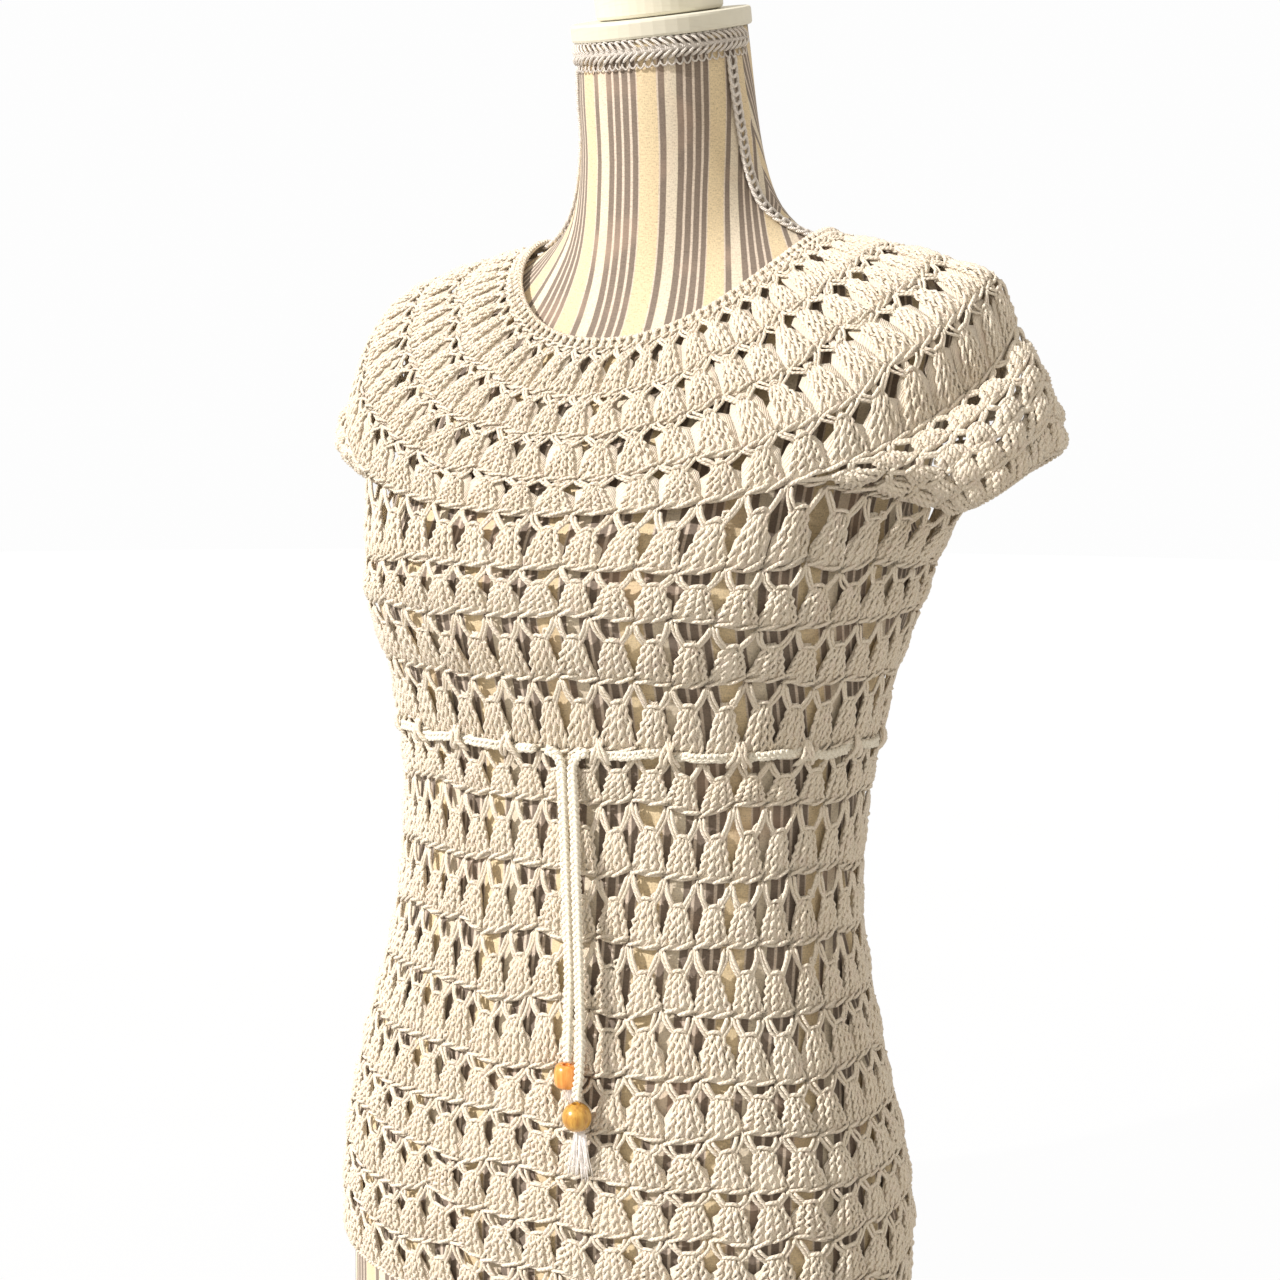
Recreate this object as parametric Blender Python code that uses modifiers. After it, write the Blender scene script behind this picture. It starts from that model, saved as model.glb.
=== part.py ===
"""Crochet top with a threaded drawstring, on a limbless tabletop dress form.

World units are metres, +Z up. The form faces -Y and the wearer's left is +X. The
origin is the middle of the flat underside that the form stands on. The tables below
are in millimetres: they are turned into metres where a mesh or a curve is made.
"""

import math
from collections import namedtuple

import bmesh
import bpy
import numpy as np
from mathutils import Vector

MM = 0.001

# Driving dimensions, in millimetres.
CLOTH_WALL = 2.5          # crochet fabric
BAND_WALL = 3.5           # neck band, two dense rounds
SEAM_GAP = 0.4            # clear space between two pieces that meet
HEM_HEIGHT = 34           # bare form under the hem
NECK_CAP = {"radius": 50.5, "height": 10, "edge": 1.6}
TOP_DISC = {"radius": 35.5, "height": 14, "edge": 2.0}
NECK_TILT = math.radians(14)
CORD = {"diameter": 5.4, "lift": 0.5}
ROUTE_POINTS = 48         # along the drawstring's way round the body
BRAID = {"thickness": 2.0, "lift": 0.6, "width": 7.0}
# The seam braid's course over the form: a round, and the angle there in degrees.
SEAM_COURSE = (("braid_foot", -15), ("neck_high", -15), ("neck_middle", -15), ("neck_low", -15),
               ("neck_flare", -13), ("neck_root", -7), ("neckline", 0))
SEAM_END = 12             # how far short of the last round it stops, at the neck band
ROUND_BEAD = {"radius": 7.7}
BARREL_BEAD = {"radius": 6.9, "waist": 5.6, "length": 12.6, "edge": 1}
BEAD_STEPS = 20

# A round is a closed curve about the body. side_* is where it crosses the wearer's
# side, front_* and back_* where it crosses the middle of the front and the back.
# square is its superellipse power, and dip shapes its fall from side to middle.
Round = namedtuple("Round", "name side_x side_y side_z front_y front_z back_y back_z square dip")
Level = namedtuple("Level", "name height side_x side_y front_y back_y square")

# Outer face of the yoke, one row for each crochet round, neck to underarm.
YOKE = [
    Round("neckline", 97, 60, 612, -42, 547, 124, 596, 2.2, 1.5),
    Round("round_1", 127, 60, 606, -66, 523, 136, 572, 2.2, 1.45),
    Round("round_2", 158, 59, 598, -85, 501, 142, 546, 2.2, 1.35),
    Round("round_3", 188, 58, 587, -98, 480, 142, 517, 2.2, 1.15),
    Round("split", 200, 56, 560, -105, 462, 136, 482, 2.1, 0.8),
]
# Upper edge of the neck band, just inside the neckline.
BAND_TOP = Round("band_top", 90, 60, 616, -36, 553, 120, 602, 2.2, 1.5)
# Outer face of the body under the arms, and of each round below it.
UNDERARM = Round("underarm", 163, 42, 464, -106, 462, 130, 476, 2.4, 1.0)
BODY = [
    Level("upper_bust", 436, 161, 33, -116, 125, 2.4),
    Level("bust", 414, 157, 20, -117, 120, 2.4),
    Level("lower_bust", 392, 151, 14, -112, 115, 2.3),
    Level("under_bust", 369, 145, 10, -104, 110, 2.2),
    Level("eyelets", 339, 140, 7, -97.5, 102.5, 2.15),
    Level("ribs", 312, 137, 4, -95, 96, 2.15),
    Level("waist", 280, 135, -1, -96, 92, 2.15),
    Level("low_waist", 246, 136, -4, -99, 91, 2.15),
    Level("belly", 212, 141, -7, -104, 95, 2.15),
    Level("high_hip", 178, 149, -11, -109, 101, 2.15),
    Level("hip", 145, 157, -14, -113, 107, 2.15),
    Level("seat", 112, 165, -14, -116, 113, 2.15),
    Level("low_seat", 74, 170, -14, -117, 115, 2.15),
    Level("hem", HEM_HEIGHT, 169, -15, -116, 112, 2.15),
]
# The form's own surface above the underarms. The cap's round is a flat, tilted one.
FORM_TOP = [
    Round("armpit", 150, 36, 462, -100, 458, 124, 462, 2.4, 1.0),
    Round("plate_low", 156, 42, 488, -93, 478, 131, 490, 2.2, 1.0),
    Round("plate_middle", 163, 48, 516, -85, 493, 135, 513, 2.1, 1.2),
    Round("plate_high", 168, 54, 543, -74, 508, 136, 532, 2.1, 1.3),
    Round("shoulder_tip", 168, 57, 570, -62, 521, 135, 548, 2.1, 1.4),
    Round("shoulder_out", 151, 58, 588, -49.5, 533, 132, 562, 2.1, 1.4),
    Round("shoulder_middle", 125, 58, 603.2, -36.5, 545, 126, 575, 2.1, 1.4),
    Round("neckline", 97, 58, 606, -26.5, 556, 116, 588, 2.1, 1.5),
    Round("neck_root", 76, 56, 616, -19, 570, 109, 600, 2.1, 1.6),
    Round("neck_flare", 62, 52, 631, -13, 589, 103, 614, 2.0, 1.6),
    Round("neck_low", 54.5, 48, 650, -9.5, 614, 98, 633, 2.0, 1.6),
    Round("neck_middle", 50.5, 43.5, 673, -9, 649, 92, 663, 2.0, 1.4),
    Round("neck_high", 49, 37, 694, -12, 680, 86, 703, 2.0, 1.1),
    Round("braid_foot", 48, 34, 711, -14, 699, 82, 723, 2.0, 1.0),
    Round("cap", 47.5, 31, 724, -16.5, 712.2, 78.5, 735.8, 2.0, 1.0),
]

# Angles about the body. The front and back of a round are cut in STEPS steps, each
# arm of the yoke in as many, and each side of the body under it in SIDE_STEPS.
STEPS = 16
SIDE_STEPS = 8
ARM_ANGLE = math.radians(50)     # where the yoke's rounds leave the body
SIDE_ANGLE = math.radians(38)    # the same place on a round of the body
HALF_SIDE = SIDE_STEPS // 2      # side steps from there to the middle of the underarm
FORM_STEPS = 48
FORM_INSET = CLOTH_WALL + 1.5    # from the cloth's outer face to the form's

# A sleeve's hem is a loop from the middle of the underarm. reach is how far its outer
# end stands out from there and rise how far above, and underarm is where it starts.
# half_depth is how far the loop swings to the front and to the back. drop is how far
# its front hangs down, and lift how far its back is raised.
# bulge is how far the sleeve's middle stands out, apart at front and back, and up.
SLEEVES = {
    "left": {"underarm": 178, "reach": 46.5, "half_depth": (51, 48), "rise": 28,
             "drop": 12.5, "lift": 6.5, "bulge": (-2.5, 2.5, 6)},
    "right": {"underarm": 157, "reach": 37, "half_depth": (36, 36), "rise": 26,
              "drop": 3, "lift": 3, "bulge": (4, 3.5, 2)},
}

# The drawstring leaves the eyelets a little to the wearer's left of the middle.
EXIT = {"x": 18, "half_opening": 13.1}
# Middle lines of its two ends: x, height, and the extra distance off the cloth. They
# hang straight past the waist, and the long one rests against the short one's bead.
CordPoint = namedtuple("CordPoint", "x height off")
CORD_ENDS = {
    "long": [CordPoint(*row) for row in (
        (30.5, 339, 0), (26.6, 338.3, 0.2), (23.6, 336.4, 0.4), (21.9, 333.2, 0.8),
        (21.4, 328, 1.6), (24.5, 305.2, 5.9), (27.7, 278.9, 9), (30.9, 252.8, 10.7),
        (34.2, 226.2, 11.4), (36.7, 203.3, 11.5), (38.1, 188.8, 11.5), (38.2, 175.4, 10.6),
        (37.1, 167.1, 9.5))],
    "short": [CordPoint(*row) for row in (
        (5.5, 339, 0), (9.4, 338.3, 0.2), (12.4, 336.4, 0.4), (14.3, 333.2, 0.8),
        (15.1, 328, 1.4), (17.5, 304.4, 4.7), (20.8, 278, 7.3), (24, 251.6, 8.5),
        (27.1, 224.9, 8.5), (28.2, 207.1, 8.2), (28.8, 193.4, 7.9), (28.9, 185.2, 7.3))],
}
# A tassel's outline, as shares of its fall and of its spread.
TASSEL_SHAPE = ((0, 0), (0.12, 0.3), (0.45, 0.62), (0.8, 1), (1, 0.9))
TASSEL_SIDES = 12
TASSEL_DRIFT = 6          # how far its tip swings back towards the cloth
ROUND_TASSEL = {"length": 28, "neck": 2.4, "width": 9, "depth": 4}
BARREL_TASSEL = {"length": 10, "neck": 2, "width": 3.2, "depth": 2.4}


# ---------------------------------------------------------------- rounds and walls

def signed_power(values, power):
    return np.sign(values) * np.abs(values) ** power


def round_points(row, angles):
    """Points of a round: +X side at angle 0, front at -90 degrees, back at +90."""
    cosine, sine = np.cos(angles), np.sin(angles)
    reach = np.abs(sine) ** (2 / row.square)
    fall = np.abs(sine) ** row.dip
    middle_y = np.where(sine < 0, row.front_y, row.back_y)
    middle_z = np.where(sine < 0, row.front_z, row.back_z)
    x = row.side_x * signed_power(cosine, 2 / row.square)
    y = row.side_y + (middle_y - row.side_y) * reach
    z = row.side_z + (middle_z - row.side_z) * fall
    return np.column_stack((x, y, z))


def level_points(row, angles):
    level = Round(row.name, row.side_x, row.side_y, row.height, row.front_y, row.height,
                  row.back_y, row.height, row.square, 1.0)
    return round_points(level, angles)


def block_angles(arm_angle, arm_steps):
    """Angles of a whole round, starting where its front begins."""
    front = np.linspace(arm_angle - math.pi, -arm_angle, STEPS + 1)[:-1]
    left = np.linspace(-arm_angle, arm_angle, arm_steps + 1)[:-1]
    back = np.linspace(arm_angle, math.pi - arm_angle, STEPS + 1)[:-1]
    right = np.linspace(math.pi - arm_angle, math.pi + arm_angle, arm_steps + 1)[:-1]
    return np.concatenate((front, left, back, right))


def surface_normals(grid, closed):
    """Outward normals of a grid of rows that run downwards and columns that run
    from the wearer's right over the front to the left."""
    down = np.gradient(grid, axis=0)
    if closed:
        across = np.roll(grid, -1, axis=1) - np.roll(grid, 1, axis=1)
    else:
        across = np.gradient(grid, axis=1)
    normals = np.cross(down, across)
    return normals / np.linalg.norm(normals, axis=2, keepdims=True)


def collection_named(name):
    collection = bpy.data.collections.new(name)
    bpy.context.scene.collection.children.link(collection)
    return collection


def finish(name, mesh, material):
    for polygon in mesh.polygons:
        polygon.use_smooth = True
    mesh.materials.append(material)
    piece = bpy.data.objects.new(name, mesh)
    garment.objects.link(piece)
    return piece


def wall(name, grid, normals, thickness, material, closed):
    """A cloth wall: the outer face is the grid, the inner one lies under it."""
    inner = grid - normals * thickness
    rows, columns = grid.shape[:2]
    mesh = bmesh.new()
    outer_verts = [[mesh.verts.new(point * MM) for point in line] for line in grid]
    inner_verts = [[mesh.verts.new(point * MM) for point in line] for line in inner]
    spans = columns if closed else columns - 1
    for row in range(rows - 1):
        for column in range(spans):
            after = (column + 1) % columns
            mesh.faces.new((outer_verts[row][column], outer_verts[row + 1][column],
                            outer_verts[row + 1][after], outer_verts[row][after]))
            mesh.faces.new((inner_verts[row][column], inner_verts[row][after],
                            inner_verts[row + 1][after], inner_verts[row + 1][column]))
    for column in range(spans):
        after = (column + 1) % columns
        mesh.faces.new((outer_verts[0][column], outer_verts[0][after],
                        inner_verts[0][after], inner_verts[0][column]))
        mesh.faces.new((outer_verts[-1][column], inner_verts[-1][column],
                        inner_verts[-1][after], outer_verts[-1][after]))
    if not closed:
        for row in range(rows - 1):
            mesh.faces.new((outer_verts[row][0], inner_verts[row][0],
                            inner_verts[row + 1][0], outer_verts[row + 1][0]))
            mesh.faces.new((outer_verts[row][-1], outer_verts[row + 1][-1],
                            inner_verts[row + 1][-1], inner_verts[row][-1]))
    bmesh.ops.recalc_face_normals(mesh, faces=mesh.faces)
    data = bpy.data.meshes.new(name)
    mesh.to_mesh(data)
    mesh.free()
    return finish(name, data, material)


def filled_loft(name, rings, material):
    """A solid through closed rings, capped flat at both ends."""
    mesh = bmesh.new()
    lines = [[mesh.verts.new(point * MM) for point in ring] for ring in rings]
    count = len(lines[0])
    for upper, lower in zip(lines[:-1], lines[1:]):
        for index in range(count):
            after = (index + 1) % count
            mesh.faces.new((upper[index], lower[index], lower[after], upper[after]))
    mesh.faces.new(lines[0])
    mesh.faces.new(lines[-1])
    bmesh.ops.recalc_face_normals(mesh, faces=mesh.faces)
    data = bpy.data.meshes.new(name)
    mesh.to_mesh(data)
    mesh.free()
    return finish(name, data, material)


def material_named(name, colour, roughness, metallic=0.0):
    material = bpy.data.materials.new(name)
    material.use_nodes = True
    shader = material.node_tree.nodes["Principled BSDF"]
    shader.inputs["Base Color"].default_value = (*colour, 1)
    shader.inputs["Roughness"].default_value = roughness
    shader.inputs["Metallic"].default_value = metallic
    return material


# ---------------------------------------------------------------- the garment

def mirrored(points):
    return points * np.array([-1, 1, 1])


def side_of_top(name):
    """Upper edge of the body under one arm, front to back, as if on the left."""
    angles = np.linspace(-SIDE_ANGLE, SIDE_ANGLE, SIDE_STEPS + 1)
    points = round_points(UNDERARM._replace(side_x=SLEEVES[name]["underarm"]), angles)
    corners = round_points(YOKE[-1], np.array([-ARM_ANGLE, ARM_ANGLE]))
    fade = np.abs(angles)[:, None] / SIDE_ANGLE
    front, back = corners[0] - points[0], corners[1] - points[-1]
    return points + np.where(angles[:, None] < 0, front, back) * fade


def body_grid():
    """Outer face of the body: its top row follows the yoke, then goes under the arms."""
    split = round_points(YOKE[-1], block_angles(ARM_ANGLE, STEPS))
    front, back = split[:STEPS], split[2 * STEPS:3 * STEPS]
    left, right = side_of_top("left"), mirrored(side_of_top("right"))[::-1]
    top = np.concatenate((front, left[:-1], back, right[:-1]))
    angles = block_angles(SIDE_ANGLE, SIDE_STEPS)
    return np.array([top] + [level_points(row, angles) for row in BODY])


def sleeve_grid(name):
    """Outer face of a sleeve, as if on the left, from the yoke's arm round to its hem."""
    sizes = SLEEVES[name]
    across = np.linspace(0, 1, STEPS + 1)[None, :, None]
    down = np.linspace(0, 1, HALF_SIDE + 1)[:, None, None]
    top = round_points(YOKE[-1], np.linspace(-ARM_ANGLE, ARM_ANGLE, STEPS + 1))
    side = side_of_top(name)
    front_end, back_end = side[:HALF_SIDE + 1], side[::-1][:HALF_SIDE + 1]
    swing = np.linspace(0, math.pi, STEPS + 1)
    outward, forward = np.sin(swing), np.sin(2 * swing)
    depth = np.where(forward > 0, *sizes["half_depth"]) * forward
    tilt = np.where(forward > 0, sizes["drop"], sizes["lift"]) * forward
    hem = front_end[-1] + np.column_stack((sizes["reach"] * outward, -depth,
                                           sizes["rise"] * outward - tilt))
    along = (1 - down) * top + down * hem
    ends = (1 - across) * front_end[:, None, :] + across * back_end[:, None, :]
    corners = ((1 - down) * ((1 - across) * top[0] + across * top[-1])
               + down * ((1 - across) * hem[0] + across * hem[-1]))
    out, apart, up = sizes["bulge"]
    puff = np.sin(math.pi * down) * np.sin(math.pi * across)
    bulge = np.concatenate((out * puff, -apart * np.cos(math.pi * across) * puff, up * puff), axis=2)
    return along + ends - corners + bulge


def towards(points, targets, distance):
    """Points moved a short way towards their targets."""
    step = targets - points
    return points + step / np.linalg.norm(step, axis=-1, keepdims=True) * distance


def join_normals(*edges):
    """Cut walls that meet along the same normals. An edge is normals, rows, columns."""
    shared = sum(normals[rows, columns] for normals, rows, columns in edges)
    shared /= np.linalg.norm(shared, axis=-1, keepdims=True)
    for normals, rows, columns in edges:
        normals[rows, columns] = shared


def stretch(start, steps, count):
    """Columns of one block of a closed round, with the first of the next block."""
    return np.arange(start, start + steps + 1) % count


def make_garment():
    angles = block_angles(ARM_ANGLE, STEPS)
    yoke = np.array([round_points(row, angles) for row in YOKE])
    band = np.array([round_points(BAND_TOP, angles), yoke[0]])
    body = body_grid()
    yoke_normals = surface_normals(yoke, True)
    band_normals = surface_normals(band, True)
    body_normals = surface_normals(body, True)
    yoke_count, body_count = yoke.shape[1], body.shape[1]

    every = np.arange(yoke_count)
    join_normals((yoke_normals, 0, every), (band_normals, 1, every))
    band_normals[0] = band_normals[1]
    for yoke_start, body_start in ((0, 0), (2 * STEPS, STEPS + SIDE_STEPS)):
        join_normals((yoke_normals, -1, stretch(yoke_start, STEPS, yoke_count)),
                     (body_normals, 0, stretch(body_start, STEPS, body_count)))

    # The right sleeve is a mirrored one, with its columns turned round to run forward.
    left = sleeve_grid("left")
    right = mirrored(sleeve_grid("right"))[:, ::-1]
    for name, sleeve, yoke_start, body_start in (
            ("sleeve_left", left, STEPS, STEPS),
            ("sleeve_right", right, 3 * STEPS, 2 * STEPS + SIDE_STEPS)):
        normals = surface_normals(sleeve, False)
        arm = stretch(yoke_start, STEPS, yoke_count)
        side = stretch(body_start, SIDE_STEPS, body_count)
        rows = np.arange(HALF_SIDE + 1)
        join_normals((yoke_normals, -1, arm), (normals, 0, np.arange(STEPS + 1)))
        join_normals((body_normals, 0, side[:HALF_SIDE]), (normals, rows[:-1], 0))
        join_normals((body_normals, 0, side[:HALF_SIDE:-1]), (normals, rows[:-1], -1))
        join_normals((body_normals, 0, side[HALF_SIDE]), (normals, -1, 0), (normals, -1, -1))
        for end in (0, -1):
            join_normals((yoke_normals, -1, arm[end]), (body_normals, 0, side[end]), (normals, 0, end))
        sleeve[0] = towards(sleeve[0], sleeve[1], SEAM_GAP)
        sleeve[:, 0] = towards(sleeve[:, 0], sleeve[:, 1], SEAM_GAP)
        sleeve[:, -1] = towards(sleeve[:, -1], sleeve[:, -2], SEAM_GAP)
        wall(name, sleeve, normals, CLOTH_WALL, cotton, False)

    band[1] = towards(band[1], band[0], SEAM_GAP)
    body[0] = towards(body[0], body[1], SEAM_GAP)
    wall("neck_band", band, band_normals, BAND_WALL, cotton, True)
    for index, name in enumerate(("yoke_front", "shoulder_left", "yoke_back", "shoulder_right")):
        columns = stretch(index * STEPS, STEPS, yoke_count)
        part = yoke[:, columns]
        part[:, 0] = towards(part[:, 0], part[:, 1], SEAM_GAP / 2)
        part[:, -1] = towards(part[:, -1], part[:, -2], SEAM_GAP / 2)
        wall(name, part, yoke_normals[:, columns], CLOTH_WALL, cotton, False)

    # The body is two walls that meet at the round that the drawstring runs through.
    waistline = 1 + [row.name for row in BODY].index("eyelets")
    bodice, skirt = body[:waistline + 1], body[waistline:].copy()
    skirt[0] = towards(skirt[0], skirt[1], SEAM_GAP)
    wall("bodice", bodice, body_normals[:waistline + 1], CLOTH_WALL, cotton, True)
    wall("skirt", skirt, body_normals[waistline:], CLOTH_WALL, cotton, True)


# ---------------------------------------------------------------- the drawstring

def cloth_front(height):
    """How far forward the middle of the garment's front lies at a height."""
    heights = [row.height for row in reversed(BODY)]
    depths = [row.front_y for row in reversed(BODY)]
    return float(np.interp(height, heights, depths))


def cloth_point(x, height):
    """The cloth's outer face at the front, at a distance x from the middle."""
    rows = sorted(BODY, key=lambda row: row.height)
    widths = np.interp(height, [row.height for row in rows], [row.side_x for row in rows])
    sides = np.interp(height, [row.height for row in rows], [row.side_y for row in rows])
    square = np.interp(height, [row.height for row in rows], [row.square for row in rows])
    front = cloth_front(height)
    reach = (1 - (abs(x) / widths) ** square) ** (1 / square)
    return Vector((x, sides + (front - sides) * reach, height))


def tube(name, points, diameter, material):
    data = bpy.data.curves.new(name, "CURVE")
    data.dimensions = "3D"
    data.bevel_depth = diameter / 2 * MM
    data.bevel_resolution = 2
    data.use_fill_caps = True
    spline = data.splines.new("POLY")
    spline.points.add(len(points) - 1)
    for target, point in zip(spline.points, points):
        target.co = (*(Vector(point) * MM), 1)
    data.materials.append(material)
    piece = bpy.data.objects.new(name, data)
    garment.objects.link(piece)
    return piece


def smooth_line(points):
    """A smooth curve through the route's own points, with one more between each two."""
    knots = [Vector(point) for point in points]
    knots = [knots[0] * 2 - knots[1]] + knots + [knots[-1] * 2 - knots[-2]]
    line = []
    for before, start, end, after in zip(knots, knots[1:], knots[2:], knots[3:]):
        halfway = (start + end) * 9 / 16 - (before + after) / 16
        line += [start, halfway]
    return line + [knots[-2]]


def drawstring_route():
    """Once around the body over the eyelet round, from exit to exit at the front."""
    level = next(row for row in BODY if row.name == "eyelets")
    lift = CORD["diameter"] / 2 + CORD["lift"]
    wide = level._replace(side_x=level.side_x + lift, front_y=level.front_y - lift,
                          back_y=level.back_y + lift)
    start = -math.acos(((EXIT["x"] + EXIT["half_opening"]) / wide.side_x) ** (wide.square / 2))
    end = -math.acos(((EXIT["x"] - EXIT["half_opening"]) / wide.side_x) ** (wide.square / 2))
    return level_points(wide, np.linspace(start, end + 2 * math.pi, ROUTE_POINTS))


def cord_end_route(name):
    lift = CORD["diameter"] / 2 + CORD["lift"]
    route = []
    for x, height, extra in CORD_ENDS[name]:
        point = cloth_point(x, height)
        point.y -= lift + extra
        route.append(point)
    return route


def round_profile():
    swing = np.linspace(math.pi / 2, -math.pi / 2, BEAD_STEPS // 2 + 1)
    radius = ROUND_BEAD["radius"]
    return [(max(0.0, radius * math.cos(angle)), radius * math.sin(angle)) for angle in swing]


def barrel_profile():
    wide, narrow = BARREL_BEAD["radius"], BARREL_BEAD["waist"]
    half, edge = BARREL_BEAD["length"] / 2, BARREL_BEAD["edge"]
    upper = [(0, half), (narrow - edge, half), (narrow, half - edge), (wide, half * 0.3)]
    return upper + [(radius, -height) for radius, height in reversed(upper)]


def bead(name, profile, place):
    """A solid turned about an upright axis: radius and height pairs, top to bottom."""
    data = bpy.data.meshes.new(name)
    edges = [(index, index + 1) for index in range(len(profile) - 1)]
    data.from_pydata([(radius * MM, 0, height * MM) for radius, height in profile], edges, [])
    data.materials.append(wood)
    piece = bpy.data.objects.new(name, data)
    piece.location = place * MM
    garment.objects.link(piece)
    screw = piece.modifiers.new("turn", "SCREW")
    screw.steps = BEAD_STEPS
    screw.render_steps = BEAD_STEPS
    screw.use_merge_vertices = True
    screw.merge_threshold = 0.00005
    screw.use_smooth_shade = True


def tassel(name, sizes, place, material):
    """Frayed cord end: a flattened cone that spreads sideways as it falls."""
    angles = np.linspace(0, 2 * math.pi, TASSEL_SIDES, endpoint=False)
    rings = []
    for fall, spread in TASSEL_SHAPE:
        width = sizes["neck"] + (sizes["width"] - sizes["neck"]) * spread
        depth = sizes["neck"] + (sizes["depth"] - sizes["neck"]) * spread
        height = place.z - fall * sizes["length"]
        clear_of_cloth = cloth_point(place.x, height).y - depth - CORD["lift"]
        y = min(place.y + TASSEL_DRIFT * fall, clear_of_cloth)
        rings.append(np.column_stack((place.x + width * np.cos(angles),
                                      y + depth * np.sin(angles),
                                      np.full(TASSEL_SIDES, height))))
    return filled_loft(name, rings, material)


def make_cord_end(name, bead_name, profile, tassel_sizes):
    line = smooth_line(cord_end_route(name))
    end = line[-1] - Vector((0, 0, CORD["diameter"]))
    tube("cord_end_" + name, line + [end], CORD["diameter"], braid_cord)
    half = profile[0][1]
    centre = end - Vector((0, 0, SEAM_GAP + half))
    bead(bead_name, profile, centre)
    tassel("tassel_" + name, tassel_sizes, centre - Vector((0, 0, SEAM_GAP + half)), braid_cord)


def make_drawstring():
    tube("drawstring", drawstring_route(), CORD["diameter"], braid_cord)
    make_cord_end("long", "bead_round", round_profile(), ROUND_TASSEL)
    make_cord_end("short", "bead_barrel", barrel_profile(), BARREL_TASSEL)


# ---------------------------------------------------------------- the dress form

def inside(row, **changes):
    """A round of the form, clear of the cloth's inner face."""
    close = row._replace(side_x=row.side_x - FORM_INSET, front_y=row.front_y + FORM_INSET,
                         back_y=row.back_y - FORM_INSET)
    return close._replace(**changes)


def form_body_rounds(angles):
    """The form under the garment's body and down to its flat underside."""
    chest, hem = BODY[0], BODY[-1]
    rows = [inside(chest, height=chest.height + 4, side_x=chest.side_x - FORM_INSET - 1,
                   front_y=chest.front_y + FORM_INSET + 3)]
    rows += [inside(row) for row in BODY[1:]]
    rows.append(inside(hem, height=0))
    return [level_points(row, angles) for row in rows]


def make_form():
    angles = np.linspace(0, 2 * math.pi, FORM_STEPS, endpoint=False)
    upper = [round_points(row, angles) for row in reversed(FORM_TOP)]
    filled_loft("form_torso", upper + form_body_rounds(angles), ticking)
    make_neck_top()
    make_neck_braid()
    for name, side in (("left", 1), ("right", -1)):
        make_shoulder_braid(name, side)


def disc(name, sizes, centre, material):
    bpy.ops.mesh.primitive_cylinder_add(vertices=FORM_STEPS, radius=sizes["radius"] * MM,
                                        depth=sizes["height"] * MM, location=centre * MM,
                                        rotation=(NECK_TILT, 0, 0))
    piece = bpy.context.object
    piece.name = name
    for collection in piece.users_collection:
        collection.objects.unlink(piece)
    garment.objects.link(piece)
    bevel = piece.modifiers.new("rounded edge", "BEVEL")
    bevel.width = sizes["edge"] * MM
    bevel.segments = 2
    bevel.angle_limit = math.radians(60)
    piece.data.materials.append(material)
    piece.data.shade_smooth()


def make_neck_top():
    top = FORM_TOP[-1]
    axis = Vector((0, -math.sin(NECK_TILT), math.cos(NECK_TILT)))
    neck_top = Vector((0, top.side_y, top.side_z))
    cap_middle = neck_top + axis * (SEAM_GAP + NECK_CAP["height"] / 2)
    disc("neck_cap", NECK_CAP, cap_middle, painted)
    disc_middle = cap_middle + axis * (NECK_CAP["height"] / 2 + SEAM_GAP + TOP_DISC["height"] / 2)
    disc("top_disc", TOP_DISC, disc_middle, painted)


def make_neck_braid():
    """Braid across the front of the neck, under the cap, from side seam to side seam."""
    first, last = FORM_STEPS // 2 - 1, FORM_STEPS + 1
    angles = np.arange(first, last + 1) * 2 * math.pi / FORM_STEPS
    top, foot = FORM_TOP[-1], FORM_TOP[-2]
    surface = np.array([round_points(top, angles), round_points(foot, angles)])
    surface[0] = towards(surface[0], surface[1], BRAID["lift"])
    normals = surface_normals(surface, False)
    outer = surface + normals * (BRAID["lift"] + BRAID["thickness"])
    wall("braid_neck", outer, normals, BRAID["thickness"], braid_trim, False)


def make_shoulder_braid(name, side):
    """Narrow braid down the seam of the neck and out to the garment's neck band."""
    rounds = {row.name: row for row in FORM_TOP}
    strip = []
    for row_name, degrees in SEAM_COURSE:
        seam = math.radians(degrees)
        spread = BRAID["width"] / 2 / rounds[row_name].side_x
        strip.append(round_points(rounds[row_name], np.array([seam - spread, seam, seam + spread])))
    strip = np.array(strip)
    strip[0] = towards(strip[0], strip[1], BRAID["lift"])
    strip[-1] = towards(strip[-1], strip[-2], SEAM_END)
    normals = surface_normals(strip, False)
    flip = np.array([side, 1, 1])
    outer = (strip + normals * (BRAID["lift"] + BRAID["thickness"])) * flip
    wall("braid_seam_" + name, outer, normals * flip, BRAID["thickness"], braid_trim, False)


for item in list(bpy.data.objects):
    bpy.data.objects.remove(item, do_unlink=True)

garment = collection_named("crochet_top_on_form")
cotton = material_named("natural_cotton", (0.74, 0.66, 0.52), 0.9)
braid_cord = material_named("ivory_cord", (0.86, 0.83, 0.76), 0.7)
wood = material_named("beech_bead", (0.62, 0.35, 0.10), 0.35)
ticking = material_named("ticking_cloth", (0.72, 0.63, 0.48), 0.85)
braid_trim = material_named("silver_ivory_braid", (0.76, 0.74, 0.72), 0.5)
painted = material_named("cream_paint", (0.86, 0.85, 0.80), 0.45)

make_form()
make_garment()
make_drawstring()
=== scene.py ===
import math

import bpy
import numpy as np
from mathutils import Matrix, Vector


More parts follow.
